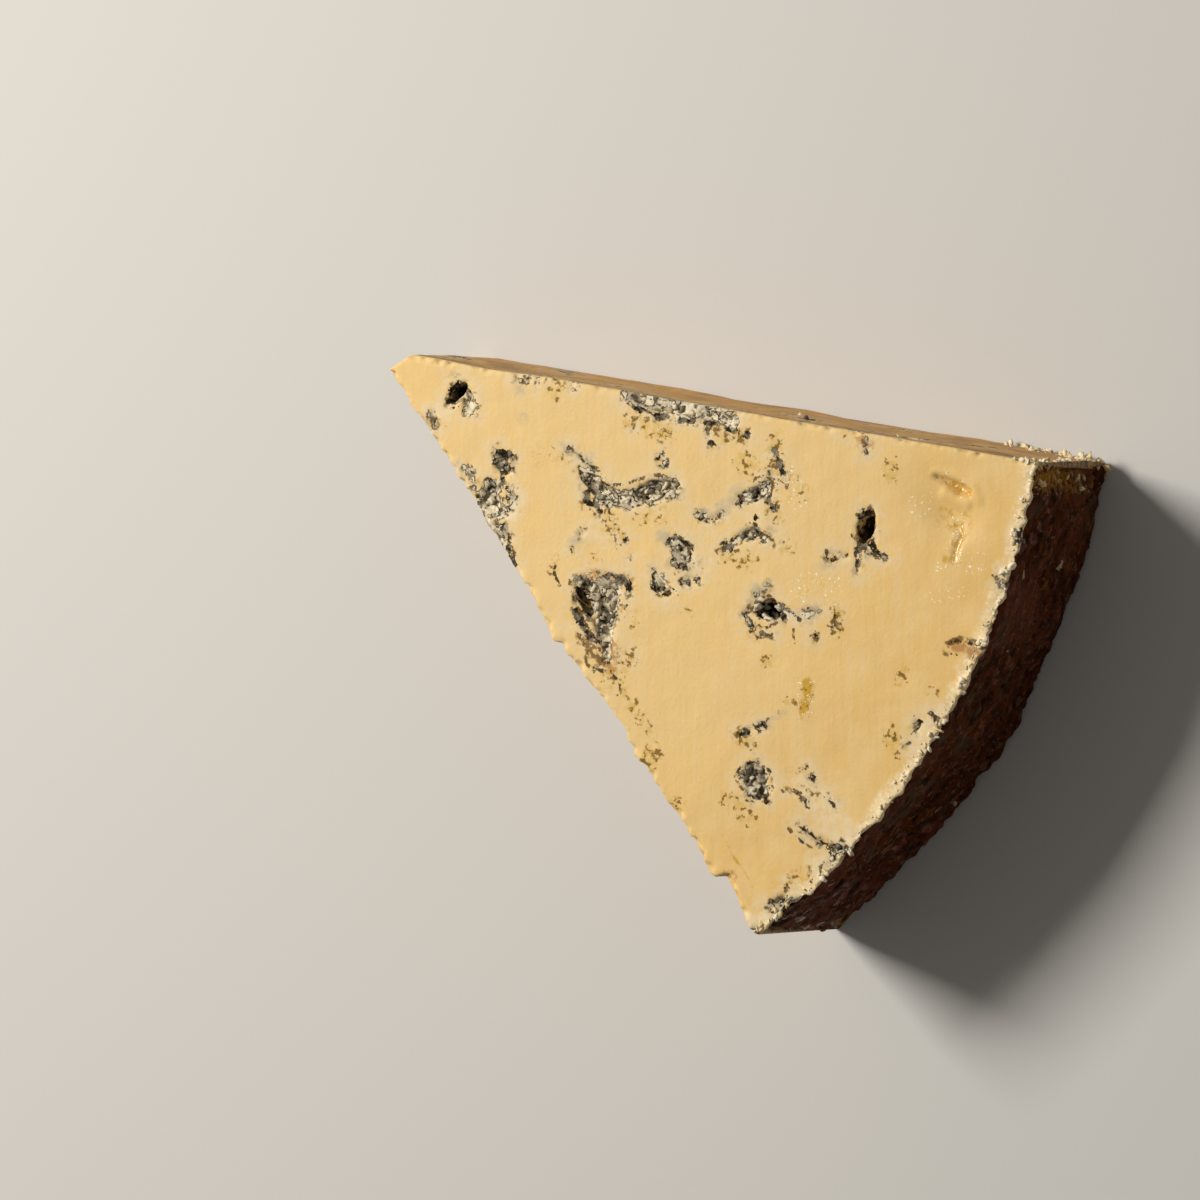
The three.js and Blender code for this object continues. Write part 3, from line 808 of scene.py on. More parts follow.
    def tints(self, pockets: Sequence[Pocket]) -> dict[Stain, tuple[Tint, ...]]:
        """Lays out the soft patches round the pockets.

        Args:
            pockets: the pockets.

        Returns:
            The patches of each kind.
        """
        draw = Draw(self.vein_seed + 2)
        patches: dict[Stain, list[Tint]] = {stain: [] for stain in Stain}
        for pocket in pockets:
            for stain, count in self.tints_each:
                for _ in range(count):
                    heading, gap = draw(0.0, 2 * math.pi), draw(0.8, 5.0)
                    u = pocket.route[0][0] + gap * math.cos(heading)
                    v = pocket.route[0][1] + gap * math.sin(heading)
                    start = (u, v, draw(0.5, 1.2))
                    end = (u + draw(-2.0, 2.0), v + draw(-2.0, 2.0), draw(0.4, 1.0))
                    patches[stain].append(Tint((start, end), draw(0.4, 0.9), pocket.face))
        return {stain: tuple(found) for stain, found in patches.items()}


def distance_to(route: Route, places: Array) -> Array:
    """Measures how far places are from the edge of a tapering line.

    Args:
        route: the line's points, each with its half width.
        places: the places on the face, one a row.

    Returns:
        The distances, below 0 inside the line and FAR where the line isn't near.
    """
    line = np.array(route)
    if len(line) == 1:
        line = np.repeat(line, 2, axis=0) + ((0.0, 0.0, 0.0), (STUB, 0.0, 0.0))
    nearest = np.full(len(places), FAR)
    margin = NEAR + line[:, 2].max()
    near = np.all((places > line[:, :2].min(0) - margin) & (places < line[:, :2].max(0) + margin), axis=1)
    places = places[near]
    for start, end in zip(line, line[1:]):
        run = end[:2] - start[:2]
        share = np.clip((places - start[:2]) @ run / (run @ run), 0.0, 1.0)
        gap = np.linalg.norm(places - start[:2] - share[:, None] * run, axis=1)
        nearest[near] = np.minimum(nearest[near], gap - start[2] - share * (end[2] - start[2]))
    return nearest


@dataclass
class MouldMap:
    """Where the mould and the soft patches lie, for the points of a mesh."""

    pockets: Sequence[Pocket]
    veins: Sequence[Vein]
    tints: dict[Stain, tuple[Tint, ...]]
    cracks: Sequence[Crack] = ()
    pocket_reach: float = 0.8  # how far below its floor a pocket colours the paste
    vein_reach: float = 1.1  # and how far below the cut a vein and a patch do
    tint_reach: float = 2.0
    tint_core: float = 0.33  # the share of its fading that a patch has at its edge

    def measure(self, points: Array) -> dict[str, Array]:
        """Measures the points.

        Args:
            points: the points, in millimetres round the wheel's centre.

        Returns:
            For each name, one number a point: mould, hollow and crack are distances from the edge of
            the nearest mould, pocket and crack, fuzz and the stains are strengths, and depth is how
            far a point lies below the cut faces.
        """
        local = {face: face.local(points) for face in (UPPER, LOWER, PLUS_SIDE, MINUS_SIDE)}
        found = {name: np.full(len(points), FAR) for name in ("mould", "hollow", "crack")}
        found["fuzz"] = np.zeros(len(points))
        found["depth"] = np.min([-places[:, 2] for places in local.values()], axis=0)
        for stroke in (*self.pockets, *self.veins):
            hollow = isinstance(stroke, Pocket)
            reach = stroke.deep + self.pocket_reach if hollow else self.vein_reach
            places = local[stroke.face]
            gap = distance_to(stroke.route, places[:, :2]) + np.maximum(0.0, -places[:, 2] - reach)
            found["fuzz"] = np.where(gap < found["mould"], stroke.fuzz, found["fuzz"])
            found["mould"] = np.minimum(found["mould"], gap)
            if hollow:
                found["hollow"] = np.minimum(found["hollow"], gap)
        for crack in self.cracks:
            places = local[crack.face]
            below = np.maximum(0.0, -places[:, 2] - self.vein_reach)
            gap = distance_to(crack.route(), places[:, :2]) + below
            found["crack"] = np.minimum(found["crack"], gap)
        for stain in Stain:
            strength = np.zeros(len(points))
            for tint in self.tints.get(stain, ()):
                places = local[tint.face]
                gap = distance_to(tint.route, places[:, :2])
                gap += np.maximum(0.0, -places[:, 2] - self.tint_reach)
                faded = tint.strength * (1.0 - eased(gap / tint.soft + self.tint_core))
                strength = np.maximum(strength, faded)
            found[stain.value] = strength
        return found


# ---- meshes ----


def mesh_object(name: str, bm: bmesh.types.BMesh) -> Piece:
    """Makes a mesh object in the scene.

    Args:
        name: its name.
        bm: its mesh, which is freed.

    Returns:
        The object.
    """
    mesh = bpy.data.meshes.new(name)
    bm.to_mesh(mesh)
    bm.free()
    made = bpy.data.objects.new(name, mesh)
    bpy.context.scene.collection.objects.link(made)
    return made


def settled(piece: Piece) -> None:
    """Applies a piece's modifiers to its mesh.

    Args:
        piece: the piece.
    """
    graph = bpy.context.evaluated_depsgraph_get()
    mesh = bpy.data.meshes.new_from_object(piece.evaluated_get(graph))
    piece.modifiers.clear()
    old, piece.data = piece.data, mesh
    bpy.data.meshes.remove(old)


def places_of(mesh: bpy.types.Mesh, what: str = "co") -> Array:
    """Reads a mesh's vertices.

    Args:
        mesh: the mesh.
        what: "co" for their places or "normal" for their normals.

    Returns:
        One row a vertex.
    """
    values = np.empty(3 * len(mesh.vertices))
    mesh.vertices.foreach_get(what, values)
    return values.reshape(-1, 3)


def move_to(mesh: bpy.types.Mesh, places: Array) -> None:
    """Moves a mesh's vertices to new places."""
    mesh.vertices.foreach_set("co", places.ravel())
    mesh.update()


def keep(mesh: bpy.types.Mesh, values: dict[str, Array]) -> None:
    """Stores numbers on a mesh's vertices.

    Args:
        mesh: the mesh.
        values: for each attribute's name, one number a vertex.
    """
    for name, numbers in values.items():
        layer = mesh.attributes.new(name, "FLOAT", "POINT")
        layer.data.foreach_set("value", numbers.astype(np.float32))


def thin(piece: Piece, spare: Array, kept_share: float) -> None:
    """Leaves fewer faces on the hidden parts of a piece.

    Args:
        piece: the piece.
        spare: for each vertex, whether it is on a hidden part.
        kept_share: the share of all the piece's faces that stays.
    """
    group = piece.vertex_groups.new(name="spare")
    group.add(np.flatnonzero(spare).tolist(), 1.0, "REPLACE")
    decimate = piece.modifiers.new("thin", "DECIMATE")
    decimate.ratio, decimate.vertex_group = kept_share, group.name
    settled(piece)
    piece.vertex_groups.clear()


def put_in_frame(piece: Piece, finish: Material) -> None:
    """Puts a finished piece in the part's frame, dresses it, attaches it to the root body and hides the solid
    that it stands for.

    Args:
        piece: the piece, in millimetres from the wheel's centre.
        finish: its material.
    """
    piece.data.transform(WEDGE.placement())
    piece.data.materials.clear()
    piece.data.materials.append(finish)
    piece.data.shade_smooth()
    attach(piece, "root")
    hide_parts(NODE)


class Ball:
    """A ball of radius 1 that is copied many times, each time stretched, turned and placed."""

    def __init__(self, fineness: int) -> None:
        """Makes the ball.

        Args:
            fineness: how finely it is divided.
        """
        bm = bmesh.new()
        bmesh.ops.create_icosphere(bm, subdivisions=fineness, radius=1.0)
        self.mesh = bpy.data.meshes.new("ball")
        bm.to_mesh(self.mesh)
        bm.free()
        self.shape = places_of(self.mesh)

    def copy_to(self, bm: bmesh.types.BMesh, place: Matrix, swell: Array | float = 1.0) -> None:
        """Adds a copy to a bmesh.

        Args:
            bm: the bmesh.
            place: turns the ball into the copy.
            swell: how far each vertex stands from the middle.
        """
        turn, shift = np.array(place.to_3x3()), np.array(place.translation)
        move_to(self.mesh, (self.shape * swell) @ turn.T + shift)
        bm.from_mesh(self.mesh)


@dataclass
class Skin:
    """A finished piece, for crumbs to rest on: its vertices, their normals and their marks."""

    piece: Piece
    points: Array
    normals: Array
    marks: dict[str, Array]

    def __post_init__(self) -> None:
        """Sorts the vertices, so that they are quick to find."""
        self.tree = KDTree(len(self.points))
        for index, point in enumerate(self.points):
            self.tree.insert(point, index)
        self.tree.balance()

    def near(self, place: Sequence[float]) -> int:
        """Gives the vertex nearest to a place."""
        return self.tree.find(place)[1]


@dataclass(frozen=True)
class CutEdge:
    """How wavy one straight side is, and how crumbled its upper edge."""

    face: CutFace
    wave_row: float
    nick_depth: float
    nick_width: float


@dataclass
class Paste:
    """The body of the wedge: everything but its rind and its loose crumbs."""

    moulds: MouldMap
    dent: Dent = Dent()
    rind_inset: float = 0.55
    arc_steps: int = 72
    voxel: float = 0.36
    kept_share: float = 0.64
    foot_height: float = 0.2  # below this is the lower face
    covered: float = 1.5  # and this far below the upper face the rind hides the body
    cutter_segments: int = 26
    lumpiness: float = 0.24  # of the pockets, in half widths, with lumps of two sizes
    lump_sizes: Range = (0.55, 0.24)
    edges: tuple[CutEdge, ...] = (
        CutEdge(PLUS_SIDE, 5.5, 0.20, 0.7),
        CutEdge(MINUS_SIDE, -5.5, 0.8, 1.1),
    )
    wave_size: float = 9.0
    wave_depth: float = 0.3
    tip_fade: float = 6.0  # the length over which the waves fade towards the tip
    cut_grain: Knobs = Knobs(2.0, 0.05, 3.0)
    lip_fray: tuple[Knobs, ...] = (Knobs(1.9, 0.26, 33.0), Knobs(0.7, 0.15, 34.0))
    edge_height: float = 2.0  # how far below the upper face its edges are frayed
    nick_size: float = 1.2
    nick_grain: Knobs = Knobs(0.75, 0.45, 9.0)
    rim_width: float = 2.2
    rim_fray: tuple[Knobs, ...] = (Knobs(1.7, 0.7, 12.0), Knobs(0.8, 0.5, 13.0))
    rim_rise: Knobs = Knobs(1.1, 0.30, 14.0)
    set_back: float = 3.4  # how much further in the body ends where the rind covers it
    set_back_at_foot: float = 0.55  # the share of that at the foot
    lumps: tuple[Knobs, ...] = (Knobs(1.15, 1.0, 20.0), Knobs(0.62, 0.5, 21.0))
    lump_height: float = 0.25
    top_depth: float = 1.2  # how deep the waves of the upper face reach
    top_waves: tuple[Knobs, ...] = (Knobs(11.0, 0.10, 30.0), Knobs(2.4, 0.035, 31.0))

    def sector(self) -> bmesh.types.BMesh:
        """Makes the plain eighth of the wheel, with its blunt tip.

        Returns:
            Its closed mesh.
        """
        bm = bmesh.new()
        radius, half = WEDGE.radius - self.rind_inset, WEDGE.half_angle
        start = bm.verts.new((radius * math.cos(half), -radius * math.sin(half), 0.0))
        bmesh.ops.spin(bm, geom=[start], axis=(0, 0, 1), angle=2 * half, steps=self.arc_steps)
        bm.verts.ensure_lookup_table()
        ends = [vert for vert in bm.verts if len(vert.link_edges) == 1]
        low, high = sorted(ends, key=lambda vert: vert.co.y)
        tip_low, tip_high = (bm.verts.new((*tip, 0.0)) for tip in (WEDGE.tip_low, WEDGE.tip_high))
        for pair in ((low, tip_low), (tip_low, tip_high), (tip_high, high)):
            bm.edges.new(pair)
        bmesh.ops.contextual_create(bm, geom=bm.edges[:])
        raised = bmesh.ops.extrude_face_region(bm, geom=bm.faces[:])["geom"]
        tops = [part for part in raised if isinstance(part, bmesh.types.BMVert)]
        bmesh.ops.translate(bm, vec=(0, 0, WEDGE.thickness), verts=tops)
        bmesh.ops.recalc_face_normals(bm, faces=bm.faces[:])
        return bm

    def cutter(self, pocket: Pocket, seed: int) -> bmesh.types.BMesh:
        """Makes the lumpy ball, bent along a pocket's route, that cuts it.

        Args:
            pocket: the pocket.
            seed: sets its swellings apart from the others'.

        Returns:
            A closed mesh round the pocket.
        """
        bm = bmesh.new()
        line = np.array(pocket.route)
        rings = 14 + 8 * len(line)
        bmesh.ops.create_uvsphere(bm, u_segments=self.cutter_segments, v_segments=rings, radius=1.0)
        ball = np.array([vert.co for vert in bm.verts])
        coarse, fine = (grain(ball, size, seed) for size in self.lump_sizes)
        swell = 1.0 + self.lumpiness * coarse + 0.5 * self.lumpiness * fine
        ball *= swell[:, None]
        along = np.clip((1.0 - ball[:, 2]) / 2.0, 0.0, 1.0)
        stations = np.linspace(0.0, 1.0, len(line))
        centre = np.column_stack([np.interp(along, stations, line[:, n]) for n in range(3)])
        run = line[-1, :2] - line[0, :2]
        ahead = run / np.linalg.norm(run)
        push = centre[:, 2] * (2.0 * along - 1.0) ** 5
        across = centre[:, 2] * ball[:, 0]
        flat = centre[:, :2] + push[:, None] * ahead + across[:, None] * (-ahead[1], ahead[0])
        for vert, (u, v), height in zip(bm.verts, flat, ball[:, 1] * pocket.deep):
            vert.co = (u, v, height)
        bmesh.ops.transform(bm, matrix=pocket.face.frame(0.0, 0.0), verts=bm.verts[:])
        bmesh.ops.recalc_face_normals(bm, faces=bm.faces[:])
        return bm

    def carve(self, piece: Piece) -> None:
        """Cuts the pockets out of the body, and gives it an even fine mesh.

        Args:
            piece: the body.
        """
        cutters = bpy.data.collections.new("cutters")
        for seed, pocket in enumerate(self.moulds.pockets):
            cutter = mesh_object(f"cutter_{seed}", self.cutter(pocket, seed))
            bpy.context.scene.collection.objects.unlink(cutter)
            cutters.objects.link(cutter)
        cut = piece.modifiers.new("pockets", "BOOLEAN")
        cut.operation, cut.operand_type, cut.collection = "DIFFERENCE", "COLLECTION", cutters
        cut.solver = "MANIFOLD"
        remesh = piece.modifiers.new("even", "REMESH")
        remesh.mode, remesh.voxel_size = "VOXEL", self.voxel
        settled(piece)
        for cutter in list(cutters.objects):
            bpy.data.objects.remove(cutter)
        bpy.data.collections.remove(cutters)

    def spare(self, points: Array) -> Array:
        """Tells which vertices are on the lower face or behind the rind.

        Args:
            points: the vertices.

        Returns:
            True or False for each.
        """
        outer = np.hypot(points[:, 0], points[:, 1]) > WEDGE.radius - self.rind_inset - 0.2
        return (points[:, 2] < self.foot_height) | (outer & (points[:, 2] < WEDGE.thickness - self.covered))

    def shape_sides(self, moved: Array, points: Array) -> None:
        """Gives the straight sides their waves, the lips of the -Y edge, and nicks along both edges.

        Args:
            moved: the moved vertices, which are moved further.
            points: where they were.
        """
        upper = UPPER.local(points)[:, 2]
        for edge in self.edges:
            u, _, out = edge.face.local(points).T
            band = eased(1.0 + out / WEDGE.side_depth) * eased(u / self.tip_fade)
            wave = noise(u / self.wave_size, edge.wave_row, points[:, 2] / self.wave_size)
            push = self.wave_depth * wave + self.cut_grain.at(points)
            if edge.face == MINUS_SIDE:
                push += np.interp(u, *zip(*MINUS_EDGE)) * eased(1.0 + upper / WEDGE.lip_height)
                fray = sum(knobs.at(points) for knobs in self.lip_fray)
                push += fray * eased(1.0 + upper / self.edge_height)
            moved += (push * band)[:, None] * np.array(edge.face.out)
            corner = np.hypot(upper, out) - 0.1
            ragged = edge.nick_depth * (0.3 + grain(points, self.nick_size, 8.0)) + self.nick_grain.at(points)
            nick = np.maximum(0.0, ragged) * (1.0 - eased(corner / edge.nick_width))
            moved -= nick[:, None] * (np.array(edge.face.out) + UPPER.out) * 0.7

    def shape_rim(self, moved: Array, points: Array) -> None:
        """Frays the edge beside the rind, and sets the body back where the rind covers it.

        Args:
            moved: the moved vertices, which are moved further.
            points: where they were.
        """
        upper = UPPER.local(points)[:, 2]
        from_rind = WEDGE.radius - np.hypot(points[:, 0], points[:, 1])
        rim = (1.0 - eased(from_rind / self.rim_width)) * eased(1.0 + upper / self.edge_height)
        outward = np.column_stack((points[:, 0], points[:, 1], np.zeros(len(points))))
        outward /= np.linalg.norm(outward, axis=1)[:, None] + 1e-9
        ragged = sum(knobs.at(points) for knobs in self.rim_fray) - 0.2
        behind = (from_rind < self.rind_inset + 0.25) * eased(-upper - 0.6)
        for face in (PLUS_SIDE, MINUS_SIDE):
            behind = behind * eased((-face.local(points)[:, 2] - 0.5) / 0.8)
        at_foot = self.set_back_at_foot
        behind = behind * (at_foot + (1.0 - at_foot) * eased(points[:, 2] - 0.3))
        moved += (rim * ragged - self.set_back * behind)[:, None] * outward
        moved[:, 2] += rim * (self.rim_rise.at(points) - 0.1)

    def shape_top(self, moved: Array, points: Array, normals: Array, marks: dict[str, Array]) -> None:
        """Gives the pockets their crumbly floors, and the upper face its waves, mould and dent.

        Args:
            moved: the moved vertices, which are moved further.
            points: where they were.
            normals: their normals.
            marks: what the mould map says of them. The lumps are added to it.
        """
        inside = eased(-marks["hollow"] / 0.5 + 0.6) * eased(marks["depth"] / 0.5)
        marks["lump"] = sum(knobs.at(points) for knobs in self.lumps)
        moved += (self.lump_height * inside * marks["lump"])[:, None] * normals
        top = eased(1.0 + UPPER.local(points)[:, 2] / self.top_depth)
        flat_mould = (1.0 - eased(marks["mould"] / 0.4 + 0.4)) * (1.0 - inside)
        moved[:, 2] += top * flat_mould * (0.08 * marks["lump"] - 0.10)
        moved[:, 2] += top * sum(knobs.at(points) for knobs in self.top_waves)
        moved[:, 2] += top * self.dent.height(points)

    def build(self, finish: Material) -> Skin:
        """Models the body, marks its mould and dresses it.

        Args:
            finish: its material.

        Returns:
            The body, for crumbs to rest on.
        """
        piece = mesh_object("paste", self.sector())
        self.carve(piece)
        thin(piece, self.spare(places_of(piece.data)), self.kept_share)
        points = places_of(piece.data)
        marks = self.moulds.measure(points)
        moved = points + leaning(points)
        self.shape_sides(moved, points)
        self.shape_rim(moved, points)
        self.shape_top(moved, points, places_of(piece.data, "normal"), marks)
        moved[:, 2] = np.maximum(moved[:, 2], 0.0)
        move_to(piece.data, moved)
        skin = Skin(piece, moved, places_of(piece.data, "normal"), marks)
        marks["rim"] = WEDGE.radius - np.hypot(points[:, 0], points[:, 1])
        keep(piece.data, marks)
        put_in_frame(piece, finish)
        return skin


@dataclass
class Rind:
    """The crust on the curved side: a curved shell with granules fused to it."""

    inner: float = 94.9
    outer: float = 99.2
    gap_above: float = 0.6  # how far the shell stops short of the upper face
    gap_aside: float = 0.5  # and of the straight sides
    foot: float = 0.12  # its height above the ground
    arc_steps: int = 64
    height_steps: int = 24
    granules: tuple[int, int] = (78, 22)  # round the wheel, and up it
    least_granule: float = 0.34
    granule_spread: float = 0.5
    rarity_of_large: float = 3.0
    granule_sink: Range = (-0.75, -0.15)  # from the shell, in its own sizes
    granule_tilt: Range = (-0.2, 0.7)
    side_gap: float = 1.2  # from the straight sides to the first granule's middle
    roughness: tuple[Knobs, ...] = (Knobs(0.8, 0.16, 50.0), Knobs(0.45, 0.08, 51.0))
    voxel: float = 0.3
    kept_share: float = 0.72
    squeeze_from: float = 29.4  # above this, and as near the lower face, the crust is pressed flat
    squeeze: float = 0.62
    seed: int = 5
    granule_places: list[Vector] = field(default_factory=list)

    def shell(self) -> bmesh.types.BMesh:
        """Makes the curved shell that the granules sit on, with its knobs and furrows.

        Returns:
            Its closed mesh.
        """
        bm = bmesh.new()
        low, high = self.foot, WEDGE.thickness - self.gap_above
        half = WEDGE.half_angle - self.gap_aside / WEDGE.radius
        corners = ((self.inner, low), (self.outer, low), (self.outer, high), (self.inner, high))
        first = [bm.verts.new((radius, 0.0, z)) for radius, z in corners]
        profile = [bm.edges.new(pair) for pair in zip(first, first[1:] + first[:1])]
        bmesh.ops.subdivide_edges(bm, edges=[profile[1]], cuts=self.height_steps)
        bmesh.ops.rotate(bm, cent=(0, 0, 0), matrix=Matrix.Rotation(-half, 3, "Z"), verts=bm.verts[:])
        everything = bm.verts[:] + bm.edges[:]
        bmesh.ops.spin(bm, geom=everything, axis=(0, 0, 1), angle=2 * half, steps=self.arc_steps)
        bmesh.ops.holes_fill(bm, edges=[edge for edge in bm.edges if edge.is_boundary])
        bmesh.ops.recalc_face_normals(bm, faces=bm.faces[:])
        skin = [vert for vert in bm.verts if math.hypot(vert.co.x, vert.co.y) > self.outer - 0.1]
        points = np.array([vert.co for vert in skin])
        relief = WEDGE.rind_relief(np.arctan2(points[:, 1], points[:, 0]), points[:, 2])
        for vert, grow in zip(skin, 1.0 + relief / self.outer):
            vert.co.x, vert.co.y = vert.co.x * grow, vert.co.y * grow
        return bm

    def add_granules(self, bm: bmesh.types.BMesh) -> None:
        """Sets the granules in the shell: uneven balls, longer round the wheel than up it.

        Args:
            bm: the shell's mesh.
        """
        draw = Draw(self.seed)
        ball = Ball(2)
        columns, rows = self.granules
        half = WEDGE.half_angle - self.side_gap / WEDGE.radius
        column, row = (grid.ravel() for grid in np.mgrid[0:columns, 0:rows])
        angles = half * (2.0 * (column + [draw() for _ in column]) / columns - 1.0)
        room = WEDGE.thickness - self.gap_above - self.foot
        heights = self.foot + room * (row + [draw() for _ in row]) / rows
        reliefs = WEDGE.rind_relief(angles, heights)
        for angle, z, relief in zip(angles, heights, reliefs):
            size = self.least_granule + self.granule_spread * draw() ** self.rarity_of_large
            radius = self.outer + relief + draw(*self.granule_sink) * size
            centre = Vector((radius * math.cos(angle), radius * math.sin(angle), z))
            turn = Matrix.Rotation(angle, 4, "Z") @ Matrix.Rotation(draw(*self.granule_tilt), 4, "X")
            shape = Matrix.Diagonal((0.8 * size, draw(1.2, 2.6) * size, draw(0.7, 1.2) * size, 1.0))
            ball.copy_to(bm, Matrix.Translation(centre) @ turn @ shape)
            self.granule_places.append(centre)

    def marks(self, points: Array) -> dict[str, Array]:
        """Measures the crust's vertices.

        Args:
            points: the vertices.

        Returns:
            shade is the tone of the nearest granule, height is how far a point stands off the shell,
            and arc is its distance round the wheel from the +Y cut.
        """
        tree = KDTree(len(self.granule_places))
        for index, place in enumerate(self.granule_places):
            tree.insert(place, index)
        tree.balance()
        nearest = np.array([tree.find(point)[1] for point in points])
        angle = np.arctan2(points[:, 1], points[:, 0])
        relief = WEDGE.rind_relief(angle, points[:, 2])
        return {
            "shade": lattice(nearest, self.seed, 3),
            "height": np.hypot(points[:, 0], points[:, 1]) - self.outer - relief,
            "arc": (WEDGE.half_angle - angle) * WEDGE.radius,
        }

    def build(self, finish: Material) -> Skin:
        """Models the crust and dresses it.

        Args:
            finish: its material.

        Returns:
            The crust, for crumbs to rest on.
        """
        bm = self.shell()
        self.add_granules(bm)
        piece = mesh_object("rind", bm)
        remesh = piece.modifiers.new("fused", "REMESH")
        remesh.mode, remesh.voxel_size = "VOXEL", self.voxel
        settled(piece)
        points = places_of(piece.data)
        thin(piece, np.hypot(points[:, 0], points[:, 1]) < self.inner + 0.6, self.kept_share)
        points = places_of(piece.data)
        marks = self.marks(points)
        rough = sum(knobs.at(points) for knobs in self.roughness)
        moved = points + leaning(points) + rough[:, None] * places_of(piece.data, "normal")
        over = np.maximum(0.0, moved[:, 2] - self.squeeze_from)
        under = np.maximum(0.0, WEDGE.thickness - self.squeeze_from - moved[:, 2])
        moved[:, 2] = np.maximum(moved[:, 2] + self.squeeze * (under - over), 0.0)
        move_to(piece.data, moved)
        skin = Skin(piece, moved, places_of(piece.data, "normal"), marks)
        keep(piece.data, marks)
        put_in_frame(piece, finish)
        return skin


@dataclass
class Crumbs:
    """Small lumps of one kind, pressed into what they lie on. Each kind lays its own."""

    name: str
    seed: int
    least: float  # half width
    stretch: tuple[Range, ...] = ((0.9, 1.6), (0.7, 1.1), (0.5, 0.9))
    lumpiness: float = 1.05
    lump_size: float = 0.8
    large: float = 0.25  # from this half width up a crumb gets the finer ball
    shades: list[float] = field(default_factory=list)

    def __post_init__(self) -> None:
        """Starts the random numbers and the mesh."""
        self.draw = Draw(self.seed)
        self.balls = {fineness: Ball(fineness) for fineness in (1, 2)}
        self.bm = bmesh.new()

    def rest(self, skin: Skin, index: int, size: float) -> None:
        """Adds one crumb, uneven and turned at random, that is sunk into a piece.

        Args:
            skin: the piece that it rests on.
            index: the vertex that it rests on.
            size: its half width.
        """
        draw = self.draw
        centre = Vector(skin.points[index] + skin.normals[index] * size * draw(0.0, 0.5))
        turn = Matrix.Rotation(draw(0, 6.3), 4, "Z") @ Matrix.Rotation(draw(0, 6.3), 4, "X")
        shape = Matrix.Diagonal([size * draw(*limits) for limits in self.stretch] + [1.0])
        ball = self.balls[2 if size > self.large else 1]
        swell = 1.0 + self.lumpiness * grain(ball.shape, self.lump_size, float(len(self.shades)))
        ball.copy_to(self.bm, Matrix.Translation(centre) @ turn @ shape, swell[:, None])
        self.shades += [draw()] * len(ball.shape)

    def lay(self, skin: Skin) -> None:
        """Lays the crumbs on a piece."""
        raise NotImplementedError

    def build(self, skin: Skin, finish: Material) -> Piece:
        """Lays the crumbs, makes them one piece and dresses it.

        Args:
            skin: the piece that they rest on.
            finish: their material.

        Returns:
            The piece.
        """
        self.lay(skin)
        piece = mesh_object(self.name, self.bm)
        places = places_of(piece.data)
        places[:, 2] = np.maximum(places[:, 2], 0.0)
        move_to(piece.data, places)
        keep(piece.data, {"shade": np.array(self.shades)})
        put_in_frame(piece, finish)
        return piece


@dataclass(frozen=True)
class Spread:
    """Crumbs over part of the +Y side, at its rind end.

    reach is how far they lie from the end at most, least and most how far below the upper face, and
    swing how much the largest are wider than the smallest.
    """

    reach: float
    least: float
    most: float
    swing: float


@dataclass
class RimCrumbs(Crumbs):
    """Crumbs of paste along the rind edge of the upper face, and on the rind end of the +Y side."""

    name: str = "rim_crumbs"
    seed: int = 71
    least: float = 0.10
    along_edge: int = 190
    edge_swing: float = 0.34
    edge_inset: float = 0.75
    on_side: int = 180
    side_end: float = 98.8
    spreads: tuple[Spread, ...] = (
        Spread(14.0, 25.5, 30.6, 0.46),
        Spread(1.4, 0.0, 30.0, 0.32),
        Spread(3.0, 0.0, 1.0, 0.2),
    )

    def lay(self, skin: Skin) -> None:
        """Lays the crumbs.

        Args:
            skin: the paste.
        """
        draw = self.draw
        top = WEDGE.thickness
        for _ in range(self.along_edge):
            angle = draw(-1.0, 1.0) * WEDGE.half_angle
            radius = WEDGE.radius - self.edge_inset - 1.0 * draw() ** 2
            wanted = (radius * math.cos(angle), radius * math.sin(angle), top - draw(0.0, 0.3))
            self.rest(skin, skin.near(wanted), self.least + self.edge_swing * draw() ** 3)
        for index in range(self.on_side):
            spread = self.spreads[index % len(self.spreads)]
            u, drop = self.side_end - spread.reach * draw() ** 1.5, draw(spread.least, spread.most)
            wanted = PLUS_SIDE.frame(u, -top + drop) @ Vector((0.0, 0.0, WEDGE.lean * drop / top))
            self.rest(skin, skin.near(wanted), self.least + spread.swing * draw() ** 2)


@dataclass
class SmearCrumbs(Crumbs):
    """Crumbs of paste on the rind beside the +Y corner, where the knife dragged them."""

    name: str = "smear_crumbs"
    seed: int = 97
    least: float = 0.12
    count: int = 60
    swing: float = 0.3
    reach: float = 5.0

    def lay(self, skin: Skin) -> None:
        """Lays the crumbs.

        Args:
            skin: the rind.
        """
        draw = self.draw
        for _ in range(self.count):
            angle = WEDGE.half_angle - self.reach * draw() ** 2 / WEDGE.radius
            height = (WEDGE.thickness - 0.8) * (1.0 - draw() ** 2)
            wanted = (WEDGE.radius * math.cos(angle), WEDGE.radius * math.sin(angle), height)
            self.rest(skin, skin.near(wanted), self.least + self.swing * draw() ** 3)


@dataclass
class PocketCrumbs(Crumbs):
    """Crumbs of mould on the floors of the pockets."""

    name: str = "pocket_crumbs"
    seed: int = 83
    least: float = 0.16
    count: int = 420
    swing: float = 0.36

    def lay(self, skin: Skin) -> None:
        """Lays the crumbs.

        Args:
            skin: the paste.
        """
        draw, marks = self.draw, skin.marks
        mouldy = (marks["hollow"] < 0.1) & (marks["depth"] > 0.35) & (marks["fuzz"] > 0.2)
        inside = np.flatnonzero(mouldy)
        for _ in range(self.count):
            index = inside[int(draw() * len(inside)) % len(inside)]
            self.rest(skin, index, self.least + self.swing * draw() ** 2)


# ---- shaders ----


Colour = tuple[float, float, float, float]


